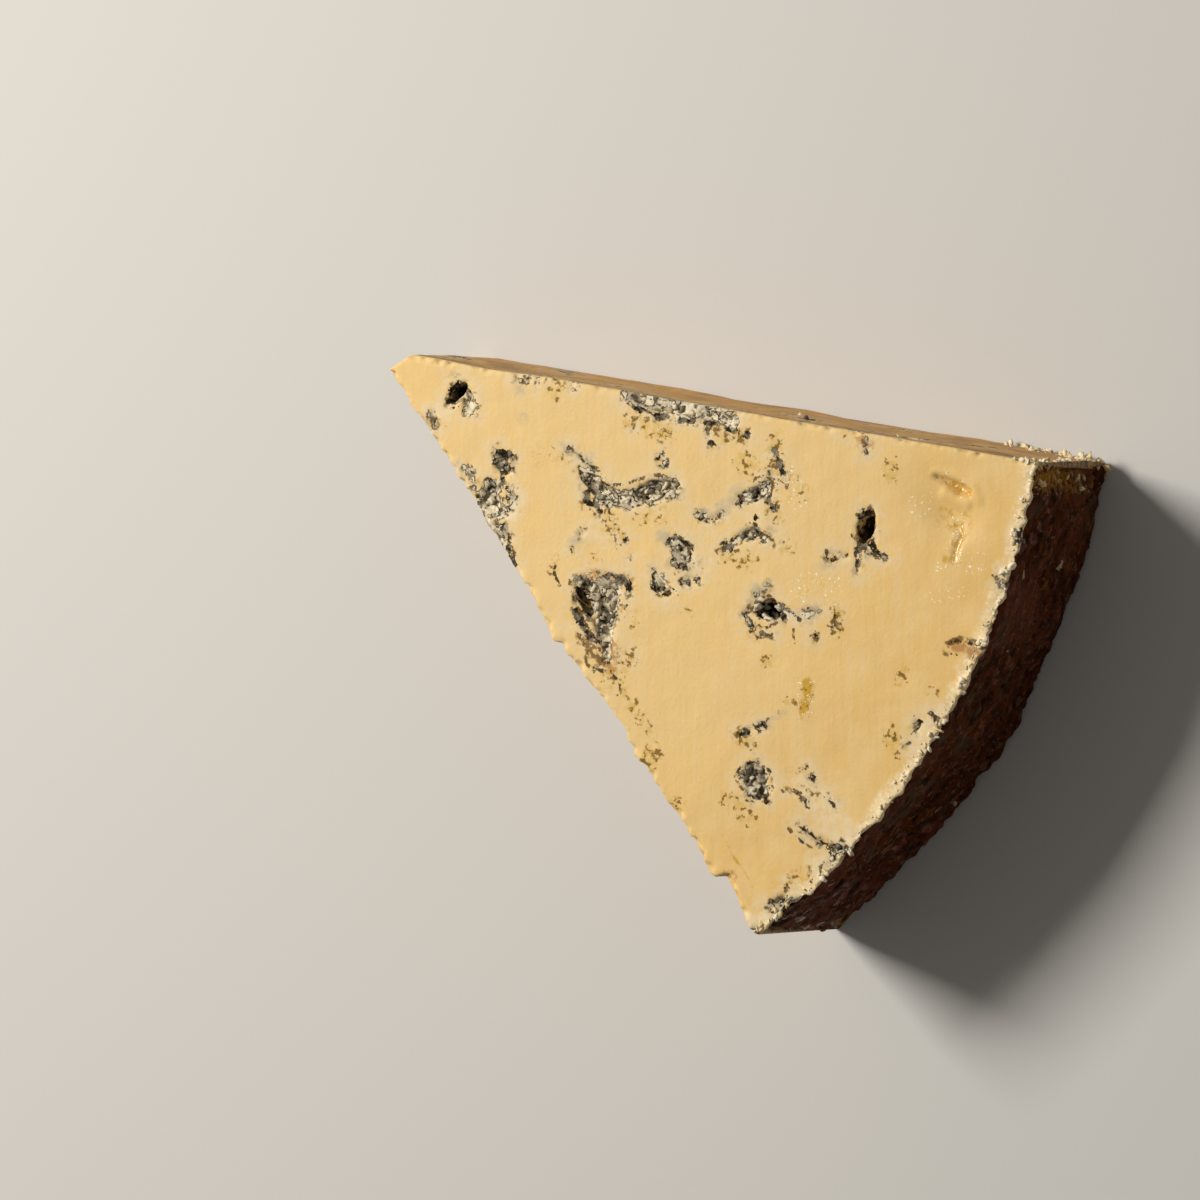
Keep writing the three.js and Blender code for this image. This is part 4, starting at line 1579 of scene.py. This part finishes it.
def tone(red: int, green: int, blue: int) -> Colour:
    """Turns a colour, as a screen shows it, into linear light.

    Args:
        red, green, blue: its parts, from 0 to 255.

    Returns:
        The colour, wholly opaque.
    """
    shares = (part / 255.0 for part in (red, green, blue))
    linear = (c / 12.92 if c <= 0.04045 else ((c + 0.055) / 1.055) ** 2.4 for c in shares)
    return (*linear, 1.0)


class Value:
    """A number that varies over a surface. Arithmetic on it adds Math nodes."""

    def __init__(self, graph: "Graph", socket: Socket) -> None:
        """Wraps a socket."""
        self.graph = graph
        self.socket = socket

    def math(self, operation: str, *given: "Value | float") -> "Value":
        """Adds a Math node that takes the given numbers in order."""
        made = self.graph.node("ShaderNodeMath", {"operation": operation}, dict(enumerate(given)))
        return Value(self.graph, made.outputs[0])

    def __add__(self, other: "Value | float") -> "Value":
        """Adds another number."""
        return self.math("ADD", self, other)

    def __sub__(self, other: "Value | float") -> "Value":
        """Takes another number away."""
        return self.math("SUBTRACT", self, other)

    def __rsub__(self, other: float) -> "Value":
        """Takes this from a number."""
        return self.math("SUBTRACT", other, self)

    def __mul__(self, other: "Value | float") -> "Value":
        """Multiplies by another number."""
        return self.math("MULTIPLY", self, other)

    __radd__ = __add__
    __rmul__ = __mul__

    def most(self, other: "Value | float") -> "Value":
        """Gives the larger of the two."""
        return self.math("MAXIMUM", self, other)

    def between(self, start: float, end: float) -> "Value":
        """Runs softly from 0 to 1.

        Args:
            start: the number that gives 0.
            end: the number that gives 1, above or below start.

        Returns:
            The share.
        """
        sockets = {"Value": self, "From Min": start, "From Max": end}
        made = self.graph.node("ShaderNodeMapRange", {"interpolation_type": "SMOOTHSTEP"}, sockets)
        return Value(self.graph, made.outputs[0])


class Graph:
    """The node tree of one material, in millimetres."""

    def __init__(self, name: str) -> None:
        """Starts an empty material.

        Args:
            name: its name.
        """
        self.material = bpy.data.materials.new(name)
        self.material.use_nodes = True
        self.tree = self.material.node_tree
        self.tree.nodes.clear()
        place = self.node("ShaderNodeTexCoord").outputs["Object"]
        scaled = self.node("ShaderNodeVectorMath", {"operation": "SCALE"}, {0: place, "Scale": 1.0 / MM})
        self.place = scaled.outputs[0]

    def node(
        self,
        kind: str,
        settings: dict[str, object] | None = None,
        sockets: dict[str | int, object] | None = None,
    ) -> bpy.types.Node:
        """Adds a node.

        Args:
            kind: its type.
            settings: its own settings, which are set first.
            sockets: what goes into its sockets: a Value, another socket, or plain numbers.

        Returns:
            The node.
        """
        made = self.tree.nodes.new(kind)
        for name, setting in (settings or {}).items():
            setattr(made, name, setting)
        for key, given in (sockets or {}).items():
            if isinstance(given, Value):
                given = given.socket
            if isinstance(given, Socket):
                self.tree.links.new(given, made.inputs[key])
            else:
                made.inputs[key].default_value = given
        return made

    def attribute(self, name: str) -> Value:
        """Reads a number stored on the mesh."""
        return Value(self, self.node("ShaderNodeAttribute", {"attribute_name": name}).outputs["Fac"])

    def axis(self, letter: str) -> Value:
        """Gives the X, Y or Z of the place."""
        return Value(self, self.node("ShaderNodeSeparateXYZ", sockets={0: self.place}).outputs[letter])

    def shift(self, place: Socket, by: object) -> Socket:
        """Moves a place by a vector or another socket."""
        return self.node("ShaderNodeVectorMath", {"operation": "ADD"}, {0: place, 1: by}).outputs[0]

    def stretched(self, angle: float, sizes: Triple) -> Socket:
        """Turns and stretches the place, for a pattern that runs one way.

        Args:
            angle: how far it is turned about Z.
            sizes: the length that counts as 1 along each turned axis.

        Returns:
            The place to read the pattern at.
        """
        turned = self.node("ShaderNodeMapping", sockets={"Vector": self.place, "Rotation": (0.0, 0.0, angle)})
        sockets = {"Vector": turned.outputs[0], "Scale": tuple(1.0 / size for size in sizes)}
        return self.node("ShaderNodeMapping", sockets=sockets).outputs[0]

    def noise(self, size: float, detail: float = 2.0, row: float = 0.0, at: Socket | None = None) -> Value:
        """Adds smooth noise from 0 to 1, centred on a half.

        Args:
            size: the width of its knobs.
            detail: how many finer layers it has.
            row: sets it apart from other noise.
            at: where it is read, or the place itself.

        Returns:
            The noise.
        """
        shifted = self.shift(at or self.place, (row, row, row))
        sockets = {"Vector": shifted, "Scale": 1.0 / size, "Detail": detail, "Roughness": 0.55}
        return Value(self, self.node("ShaderNodeTexNoise", sockets=sockets).outputs[0])

    def warped(self, size: float, amount: float) -> Socket:
        """Pushes the place about with noise.

        Args:
            size: the width of the noise's knobs.
            amount: how far it pushes at most, in millimetres.

        Returns:
            The place to read a pattern at.
        """
        sockets = {"Vector": self.place, "Scale": 1.0 / size, "Detail": 1.0}
        wave = self.node("ShaderNodeTexNoise", sockets=sockets).outputs["Color"]
        push = self.node("ShaderNodeVectorMath", {"operation": "SCALE"}, {0: wave, "Scale": amount})
        return self.shift(self.place, push.outputs[0])

    def cells(self, size: float, at: Socket) -> tuple[Value, Value]:
        """Divides the place into crumbs.

        Args:
            size: the width of a crumb.
            at: where the pattern is read.

        Returns:
            A number from 0 to 1 that each crumb has to itself, and the gap to the crumb's edge as a
            share of its size.
        """
        sockets = {"Vector": at, "Scale": 1.0 / size}
        crumb = self.node("ShaderNodeTexVoronoi", {"feature": "F1"}, sockets)
        edge = self.node("ShaderNodeTexVoronoi", {"feature": "DISTANCE_TO_EDGE"}, sockets)
        own = self.node("ShaderNodeSeparateColor", sockets={0: crumb.outputs["Color"]}).outputs[0]
        return Value(self, own), Value(self, edge.outputs["Distance"])

    def mix(self, share: Value | float, low: Colour | Socket, high: Colour | Socket) -> Socket:
        """Mixes two colours: low where the share is 0 and high where it is 1."""
        made = self.node("ShaderNodeMix", {"data_type": "RGBA"}, {0: share, 6: low, 7: high})
        return made.outputs[2]

    def bump(self, height: Value) -> Socket:
        """Turns a height in millimetres into a normal."""
        sockets = {"Height": height, "Distance": MM, "Strength": 1.0}
        return self.node("ShaderNodeBump", sockets=sockets).outputs[0]

    def finish(self, sockets: dict[str | int, object]) -> Material:
        """Ends the tree in a Principled shader.

        Args:
            sockets: what goes into the shader's sockets.

        Returns:
            The material.
        """
        shader = self.node("ShaderNodeBsdfPrincipled", sockets=sockets)
        self.node("ShaderNodeOutputMaterial", sockets={"Surface": shader.outputs[0]})
        return self.material


@dataclass(frozen=True)
class Mould:
    """The look of blue mould: pale down in crumbs, dark cracks between and a broken dark edge, with painted
    shade in deep holes.
    """

    pale: Colour = tone(230, 215, 184)
    down: Colour = tone(184, 170, 144)
    slate: Colour = tone(128, 118, 98)
    # the dark of the mould between its crumbs, and also the painted shade of the deep holes
    dark: Colour = tone(38, 28, 14)
    edge: float = 0.30

    def paint(
        self, graph: Graph, gap: Value, fuzz: Value, lump: Value, depth: Value
    ) -> tuple[Socket, Value]:
        """Paints the mould.

        Args:
            graph: the material's node tree.
            gap: the distance from the mould's edge, below 0 inside.
            fuzz: how much of it is pale down.
            lump: how high the crumbs of the modelled surface stand.
            depth: how far below the cut it lies; deep holes are painted dark as shade.

        Returns:
            The colour, and the height of its crumbs from 0 to 1.
        """
        own, rift = graph.cells(1.5, graph.warped(1.0, 1.6))
        whole = graph.noise(1.7, 2.0, 4.0).between(0.44, 0.56)
        crack = rift.between(0.03, 0.12).most(whole)
        blotch = (graph.noise(1.6, 2.0, 5.0) - 0.5) * 1.5 + lump * 0.10 + (fuzz - 0.36) * 0.9
        edge = gap.between(-0.05, -self.edge).most(graph.noise(1.1, 2.0, 9.0).between(0.50, 0.58))
        crumbs = blotch.between(-0.12, 0.06) * crack * edge
        ground = graph.mix(graph.noise(0.9, 3.0, 5.5).between(0.42, 0.60), self.dark, self.slate)
        light = graph.mix((own * 0.5 + graph.noise(0.6, 3.0, 9.0)).between(0.50, 0.90), self.down, self.pale)
        colour = graph.mix(crumbs, ground, light)
        # Painted shade: the deeper a hole, the more it turns to the dark colour.
        painted_hole_shade = depth.between(1.6, 2.8) * (1.0 - 0.3 * graph.noise(1.0, 2.0, 3.0))
        return graph.mix(painted_hole_shade, colour, self.dark), crumbs


@dataclass(frozen=True)
class PasteFinish:
    """Ivory paste that deepens to ochre near the rind, with mould, its stains, wet spots with painted glints,
    and sides darkened partly by painted shade.
    """

    cream: Colour = tone(230, 198, 138)
    warm: Colour = tone(232, 197, 132)
    ochre: Colour = tone(226, 186, 114)
    rim: Colour = tone(239, 213, 163)
    frost: Colour = tone(251, 230, 192)
    olive: Colour = tone(120, 86, 6)
    straw: Colour = tone(206, 164, 50)
    line: Colour = tone(30, 22, 12)
    line_brown: Colour = tone(112, 80, 26)
    smoke: Colour = tone(158, 148, 124)
    stains: tuple[tuple[Stain, Colour, float, float, float], ...] = (  # then how ragged, soft and strong
        (Stain.PALE, tone(234, 214, 176), 2.4, 1.2, 0.6),
        (Stain.BLUE, tone(152, 149, 134), 1.4, 0.8, 0.42),
        (Stain.RUSSET, tone(176, 122, 66), 3.2, 0.9, 0.8),
        (Stain.BROWN, tone(108, 74, 20), 3.6, 0.6, 0.85),
        (Stain.AMBER, tone(198, 150, 34), 2.6, 0.8, 0.8),
    )
    pale: Colour = tone(226, 204, 164)
    # The straight sides' colours are darker than the upper face's: partly the paste's own golden tone, partly
    # painted shade of the light that grazes them.
    side: Colour = tone(200, 142, 42)
    side_dark_and_shade: Colour = tone(118, 78, 18)
    side_pale: Colour = tone(220, 170, 72)
    section: Colour = tone(64, 36, 14)
    section_pale: Colour = tone(158, 114, 46)
    # painted highlight: white specks put in the base colour of the wet spots
    painted_glint: Colour = tone(255, 250, 236)
    mould: Mould = Mould()
    knife_heading: float = -2.13  # the way the knife went over the upper face

    def mould_gap(self, graph: Graph) -> Value:
        """Gives the distance from the mould's edge, made ragged at three sizes."""
        ragged = (graph.noise(1.7, 1.0, 2.0) - 0.5) * 2.0 + (graph.noise(0.8, 2.0, 7.0) - 0.5) * 2.2
        return graph.attribute("mould") + 0.12 + ragged + (graph.noise(0.25, 1.0, 8.0) - 0.5) * 0.4

    def ground(self, graph: Graph) -> Socket:
        """Paints the clean paste.

        Args:
            graph: the material's node tree.

        Returns:
            The colour.
        """
        colour = graph.mix(graph.noise(13.0, 2.0).between(0.36, 0.64), self.cream, self.warm)
        near_rind = graph.attribute("rim").between(34.0, 5.0)
        blotch = graph.noise(7.0, 2.0, 4.0).between(0.25, 0.62)
        colour = graph.mix(near_rind * blotch * 0.8, colour, self.ochre)
        streak = graph.noise(1.0, 2.0, at=graph.stretched(self.knife_heading, (14.0, 1.1, 4.0)))
        colour = graph.mix(streak.between(0.52, 0.75) * 0.2, colour, self.pale)
        colour = graph.mix(streak.between(0.46, 0.30) * 0.2, colour, self.ochre)
        band = (graph.attribute("rim") + (graph.noise(1.8, 3.0, 6.0) - 0.5) * 3.4).between(3.1, 1.1)
        colour = graph.mix(band * 0.95, colour, self.rim)
        return graph.mix(band * graph.noise(0.5, 2.0, 13.0).between(0.46, 0.58) * 0.9, colour, self.frost)

    def sides(self, graph: Graph, colour: Socket, depth: Value) -> tuple[Socket, Value, Value]:
        """Paints the straight sides, which are darker, partly as painted shade of grazing light, and
        blotched, and the rim end of the body.

        Args:
            graph: the material's node tree.
            colour: the colour so far.
            depth: how far below the cut faces a place lies.

        Returns:
            The colour, how much of a straight side each place is, and the drag marks on it.
        """
        facing = graph.node("ShaderNodeNewGeometry").outputs["Normal"]
        parts = graph.node("ShaderNodeSeparateXYZ", sockets={0: facing}).outputs
        upright, across = Value(graph, parts["Z"]), Value(graph, parts["Y"])
        below = WEDGE.thickness - graph.axis("Z")
        aside = upright.between(0.75, 0.3) * depth.between(1.2, 0.4) * below.between(0.2, 1.8)
        drag = graph.noise(1.2, 3.0, 9.0, at=graph.stretched(0.0, (3.0, 3.0, 0.8)))
        blotch = graph.noise(9.0, 6.0, 8.0).between(0.42, 0.70)
        side_stain_and_shade = graph.mix(blotch * 0.75, self.side, self.side_dark_and_shade)
        side_stain_and_shade = graph.mix(drag.between(0.52, 0.72) * 0.45, side_stain_and_shade, self.side_pale)
        side_stain_and_shade = graph.mix(drag.between(0.46, 0.30) * 0.35, side_stain_and_shade, self.side_dark_and_shade)
        # Painted shade: the +Y side is darker in a ragged band under its upper edge, with dark seams in that
        # band.
        ragged = (graph.noise(6.0, 4.0, 36.0) - 0.5) * 14.0
        under = across.between(0.4, 0.7) * (below + ragged).between(9.0, 2.0)
        side_stain_and_shade = graph.mix(under * 0.6, side_stain_and_shade, self.side_dark_and_shade)
        seam = graph.noise(1.2, 3.0, 38.0, at=graph.stretched(WEDGE.half_angle, (14.0, 1.0, 0.8)))
        side_stain_and_shade = graph.mix(under * seam.between(0.55, 0.62) * 0.85, side_stain_and_shade, self.section)
        # Faces that stand upright take the darker side colours, partly painted shade.
        colour = graph.mix(aside * 0.9, colour, side_stain_and_shade)
        end = (graph.attribute("rim") + drag - 0.5).between(1.5, 0.9) * below.between(1.0, 4.0)
        speckle = graph.noise(0.9, 4.0, 39.0).between(0.40, 0.58)
        crust = graph.mix(speckle, self.section, self.section_pale)
        return graph.mix(end, colour, crust), aside, drag

    def haze(self, graph: Graph, colour: Socket, gap: Value, aside: Value) -> Socket:
        """Paints the pale halo and the grey smoke round the mould, fainter on the straight sides.

        Args:
            graph: the material's node tree.
            colour: the colour so far.
            gap: the distance from the mould's edge.
            aside: how much of a straight side each place is.

        Returns:
            The colour.
        """
        halo = gap.between(2.8, 0.2) * graph.noise(1.8, 2.0, 3.0).between(0.34, 0.56)
        colour = graph.mix(halo * (0.7 - aside * 0.35), colour, self.pale)
        smoke = gap.between(1.2, -0.1) * graph.noise(2.6, 2.0, 15.0).between(0.5, 0.64)
        return graph.mix(smoke * (0.65 - aside * 0.3), colour, self.smoke)

    def patches(self, graph: Graph, colour: Socket) -> Socket:
        """Paints the soft patches, each kind with its own ragged edge.

        Args:
            graph: the material's node tree.
            colour: the colour so far.

        Returns:
            The colour.
        """
        mottle = graph.noise(0.9, 4.0, 12.0) - 0.5
        for stain, paint, raggedness, softness, most in self.stains:
            strength = graph.attribute(stain.value)
            edge = (strength + mottle * raggedness).between(0.05, 0.05 + softness)
            colour = graph.mix(edge * strength.between(0.0, 0.3) * most, colour, paint)
        return colour

    def flecks(self, graph: Graph, colour: Socket) -> Socket:
        """Paints the olive stains: straw-coloured clouds with small dark flecks in them.

        Args:
            graph: the material's node tree.
            colour: the colour so far.

        Returns:
            The colour.
        """
        olive = graph.attribute(Stain.OLIVE.value)
        cloud = (graph.noise(1.3, 3.0, 12.0) + olive * 0.22).between(0.56, 0.76) * olive.between(0.0, 0.3)
        colour = graph.mix(cloud * 0.42, colour, self.straw)
        fleck = (graph.noise(0.8, 4.0, 14.0) + olive * 0.15).between(0.60, 0.71) * olive.between(0.05, 0.3)
        return graph.mix(fleck * 0.9, colour, self.olive)

    def lines(self, graph: Graph, colour: Socket) -> tuple[Socket, Value]:
        """Paints the thin cracks, broken and uneven.

        Args:
            graph: the material's node tree.
            colour: the colour so far.

        Returns:
            The colour, and how much of a crack each place is.
        """
        uneven = (graph.noise(0.9, 2.0, 31.0) - 0.5) * 1.0 + (graph.noise(0.3, 1.0, 32.0) - 0.5) * 0.3
        line = (graph.attribute("crack") + uneven).between(0.06, -0.10)
        line = line * graph.noise(2.4, 2.0, 33.0).between(0.34, 0.46)
        ink = graph.mix(graph.noise(3.0, 2.0, 34.0).between(0.46, 0.60), self.line, self.line_brown)
        return graph.mix(line * 0.92, colour, ink), line

    def build(self) -> Material:
        """Makes the material.

        Returns:
            The material.
        """
        graph = Graph("paste")
        gap = self.mould_gap(graph)
        fuzz, depth, lump = (graph.attribute(name) for name in ("fuzz", "depth", "lump"))
        colour, aside, drag = self.sides(graph, self.ground(graph), depth)
        colour = self.haze(graph, colour, gap, aside)
        colour = self.flecks(graph, self.patches(graph, colour))
        fringe = gap.between(0.6, 0.05) * graph.noise(0.9, 2.0, 16.0).between(0.5, 0.6)
        colour = graph.mix(fringe * 0.8, colour, self.olive)
        mould, crumbs = self.mould.paint(graph, gap, fuzz, lump, depth)
        mask = gap.between(0.07, -0.07)
        colour, line = self.lines(graph, graph.mix(mask, colour, mould))
        moist = graph.attribute(Stain.WET.value)
        # Painted highlights: tiny white glints mixed into the base colour where the paste is wet.
        painted_glint = moist.between(0.1, 0.35) * graph.noise(0.42, 1.0, 40.0).between(0.65, 0.71)
        wet = moist.between(0.25, 0.8)
        rough = 0.46 + (graph.noise(2.5, 3.0, 17.0) - 0.5) * 0.3
        rough = rough * (1.0 - mask) + mask * 0.85
        grooves = graph.noise(1.0, 3.0, 35.0, at=graph.stretched(self.knife_heading, (7.0, 0.7, 3.0)))
        height = graph.noise(0.5, 3.0, 19.0) * 0.045 + graph.noise(2.2, 2.0, 20.0) * 0.06 + grooves * 0.03
        height = height + aside * (graph.noise(4.0, 4.0, 37.0) * 0.5 + drag * 0.1)
        height = height + graph.noise(0.9, 4.0, 22.0).between(0.56, 0.70) * wet * 0.10
        crumbly = crumbs * 0.08 + graph.noise(0.3, 2.0, 21.0) * 0.05 - 0.04
        height = height * (1.0 - mask) + crumbly * mask - line * 0.08
        return graph.finish(
            {
                "Base Color": graph.mix(painted_glint * 0.9, colour, self.painted_glint),
                "Roughness": rough * (1.0 - wet) + wet * 0.2,
                "Coat Weight": wet * 0.4,
                "Coat Roughness": 0.08,
                "Specular IOR Level": 0.14,
                "Normal": graph.bump(height),
                "Subsurface Weight": 0.14,
                "Subsurface Radius": (1.0, 0.6, 0.3),
                "Subsurface Scale": 0.9 * MM,
                "IOR": 1.45,
            }
        )


@dataclass(frozen=True)
class RindFinish:
    """A natural crust: dark brown and mauve granules, ochre streaks, grey down and pale flecks, in colours
    partly the crust's own and partly painted shade.
    """

    brown: Colour = tone(92, 42, 13)
    umber: Colour = tone(48, 22, 8)
    mauve: Colour = tone(102, 52, 32)
    ochre: Colour = tone(146, 92, 28)
    amber: Colour = tone(104, 44, 6)
    slate: Colour = tone(84, 68, 48)
    chalk: Colour = tone(190, 164, 132)
    # painted shade: near-black for the crust's crevices and low streaks
    crevice_shade: Colour = tone(20, 9, 4)
    smear: Colour = tone(168, 128, 44)
    smear_reach: float = 4.5

    def build(self) -> Material:
        """Makes the material.

        Returns:
            The material.
        """
        graph = Graph("rind")
        shade, height, arc = (graph.attribute(name) for name in ("shade", "height", "arc"))
        up = graph.axis("Z")
        flat = graph.node("ShaderNodeCombineXYZ", sockets={0: arc * 0.22 + up * 0.1, 1: up, 2: height})
        speck = graph.noise(0.45, 3.0, 2.0)
        streak = graph.noise(0.7, 3.0, 7.0, at=flat.outputs[0])
        colour = graph.mix(graph.noise(1.6, 3.0).between(0.35, 0.65), self.umber, self.brown)
        region = graph.noise(9.0, 2.0, 3.0)
        colour = graph.mix((region + shade * 0.25).between(0.60, 0.78) * 0.8, colour, self.mauve)
        colour = graph.mix(graph.noise(6.0, 3.0, 6.0).between(0.56, 0.68) * 0.7, colour, self.slate)
        colour = graph.mix(shade.between(0.16, 0.08) * 0.9, colour, self.amber)
        colour = graph.mix(streak.between(0.57, 0.68) * speck.between(0.4, 0.6) * 0.9, colour, self.ochre)
        # Painted shade in the low streaks, which the bump also sets lower.
        colour = graph.mix(streak.between(0.40, 0.28) * 0.8, colour, self.crevice_shade)
        colour = graph.mix(speck.between(0.62, 0.74) * 0.4, colour, self.chalk)
        patch = (graph.noise(4.0, 2.0, 11.0) + (speck - 0.5) * 0.2).between(0.70, 0.72)
        colour = graph.mix(patch * 0.8, colour, self.chalk)
        # Painted shade: the crust darkens where it lies below the shell's relief.
        low = height.between(0.10, -0.35)
        colour = graph.mix(low * 0.9, colour, self.crevice_shade)
        ragged = (graph.noise(2.0, 3.0, 14.0) - 0.5) * 6.0
        smeared = (arc + ragged).between(self.smear_reach, self.smear_reach - 1.6)
        upper = (up + (graph.noise(3.0, 2.0, 15.0) - 0.5) * 12.0).between(9.0, 16.0)
        smear_tone = graph.mix(graph.noise(0.9, 3.0, 16.0).between(0.35, 0.65), self.amber, self.smear)
        colour = graph.mix(smeared * upper * (1.0 - 0.6 * low), colour, smear_tone)
        wet = shade.between(0.20, 0.10) * (1.0 - patch)
        rough = (0.72 + (speck - 0.5) * 0.4) * (1.0 - wet) + wet * 0.28
        bump = graph.noise(0.35, 3.0, 18.0) * 0.14 + streak * 0.2
        return graph.finish(
            {
                "Base Color": colour,
                "Roughness": rough,
                "Coat Weight": wet * 0.4,
                "Coat Roughness": 0.12,
                "Normal": graph.bump(bump * (1.0 - patch * 0.7)),
                "IOR": 1.45,
                "Specular IOR Level": 0.07,
            }
        )


@dataclass(frozen=True)
class CrumbFinish:
    """Crumbs that run from one colour to another by their own shade."""

    name: str
    low: Colour
    high: Colour
    roughness: float = 0.6

    def build(self) -> Material:
        """Makes the material.

        Returns:
            The material.
        """
        graph = Graph(self.name)
        share = (graph.attribute("shade") + (graph.noise(0.4, 2.0) - 0.5) * 0.8).between(0.1, 0.9)
        rough = self.roughness + (graph.noise(0.5, 2.0, 4.0) - 0.5) * 0.3
        return graph.finish(
            {
                "Base Color": graph.mix(share, self.low, self.high),
                "Roughness": rough,
                "Normal": graph.bump(graph.noise(0.25, 3.0, 7.0) * 0.12),
                "Subsurface Weight": 0.2,
                "Subsurface Radius": (1.0, 0.55, 0.25),
                "Subsurface Scale": 1.0 * MM,
            }
        )


# ---- the studio ----


@dataclass
class Studio:
    """The camera, the soft light and the pale floor."""

    eye: Triple = (414.89, 207.08, 1099.42)
    right: Triple = (0.78541, 0.49538, -0.37112)
    up: Triple = (-0.53047, 0.84766, 0.00882)
    back: Triple = (0.31895, 0.18994, 0.92854)
    lens: float = 250.36
    sensor: float = 36.0
    key_from: Triple = (-0.654, -0.004, 0.765)  # the direction to the key light
    key_range: float = 0.9
    key_size: float = 0.28
    key_power: float = 8.8
    key_colour: Triple = (1.0, 0.97, 0.91)
    fill: float = 0.16
    fill_colour: Colour = (1.0, 0.97, 0.92, 1.0)
    floor_size: float = 3.0
    floor_colour: Colour = (0.62, 0.6, 0.57, 1.0)

    def camera(self) -> None:
        """Sets up the camera."""
        lens = bpy.data.cameras.new("camera")
        lens.lens = self.lens
        lens.sensor_width = self.sensor
        lens.clip_start = 0.05
        lens.clip_end = 20.0
        camera = bpy.data.objects.new("camera", lens)
        turn = Matrix((self.right, self.up, self.back)).transposed().to_4x4()
        camera.matrix_world = Matrix.Translation(WEDGE.placement() @ Vector(self.eye)) @ turn
        bpy.context.scene.collection.objects.link(camera)
        bpy.context.scene.camera = camera

    def key_light(self) -> None:
        """Adds the square soft light, which points at the part."""
        lamp = bpy.data.lights.new("key", "AREA")
        lamp.size = self.key_size
        lamp.energy = self.key_power
        lamp.color = self.key_colour
        made = bpy.data.objects.new("key", lamp)
        towards = Vector(self.key_from)
        turn = towards.to_track_quat("Z", "Y").to_matrix().to_4x4()
        made.matrix_world = Matrix.Translation(towards * self.key_range) @ turn
        bpy.context.scene.collection.objects.link(made)

    def floor(self) -> None:
        """Lays the plain pale floor."""
        bm = bmesh.new()
        bmesh.ops.create_grid(bm, x_segments=1, y_segments=1, size=self.floor_size)
        bmesh.ops.translate(bm, vec=(0.0, 0.0, CAD_BOX[0][2]), verts=bm.verts[:])
        floor = mesh_object("floor", bm)
        graph = Graph("floor")
        floor.data.materials.append(graph.finish({"Base Color": self.floor_colour, "Roughness": 0.8}))

    def build(self) -> None:
        """Sets up the studio."""
        scene = bpy.context.scene
        scene.view_settings.view_transform = "Standard"
        world = bpy.data.worlds.new("studio")
        world.use_nodes = True
        background = world.node_tree.nodes["Background"]
        background.inputs["Color"].default_value = self.fill_colour
        background.inputs["Strength"].default_value = self.fill
        scene.world = world
        self.camera()
        self.key_light()
        self.floor()


def mould_map() -> MouldMap:
    """Maps the mould and the soft patches of all four cut faces.

    Returns:
        The map.
    """
    hidden = HiddenFaces()
    side_pockets = hidden.pockets()
    veins = (*UPPER_VEINS, *hidden.veins(side_pockets), *hidden.streaks())
    side_tints = hidden.tints(side_pockets)
    tints = {stain: UPPER_TINTS.get(stain, ()) + more for stain, more in side_tints.items()}
    return MouldMap((*UPPER_POCKETS, *side_pockets), veins, tints, UPPER_CRACKS)


def main() -> None:
    """Builds the studio, the wedge and its crumbs, and logs each piece's face count."""
    logging.basicConfig(level=logging.INFO, format="%(name)s: %(message)s")
    Studio().build()
    paste = Paste(mould_map()).build(PasteFinish().build())
    rind = Rind().build(RindFinish().build())
    rim_finish = CrumbFinish("pale_crumbs", tone(228, 200, 148), tone(248, 232, 200))
    smear_finish = CrumbFinish("smear_crumbs", tone(150, 108, 40), tone(226, 196, 140))
    mould_finish = CrumbFinish("mould_crumbs", tone(104, 93, 74), tone(226, 212, 182), 0.8)
    pieces = [
        paste.piece,
        rind.piece,
        RimCrumbs().build(paste, rim_finish.build()),
        SmearCrumbs().build(rind, smear_finish.build()),
        PocketCrumbs().build(paste, mould_finish.build()),
    ]
    for piece in pieces:
        log.info("%s: %d faces", piece.name, len(piece.data.polygons))


if __name__ == "__main__":
    main()
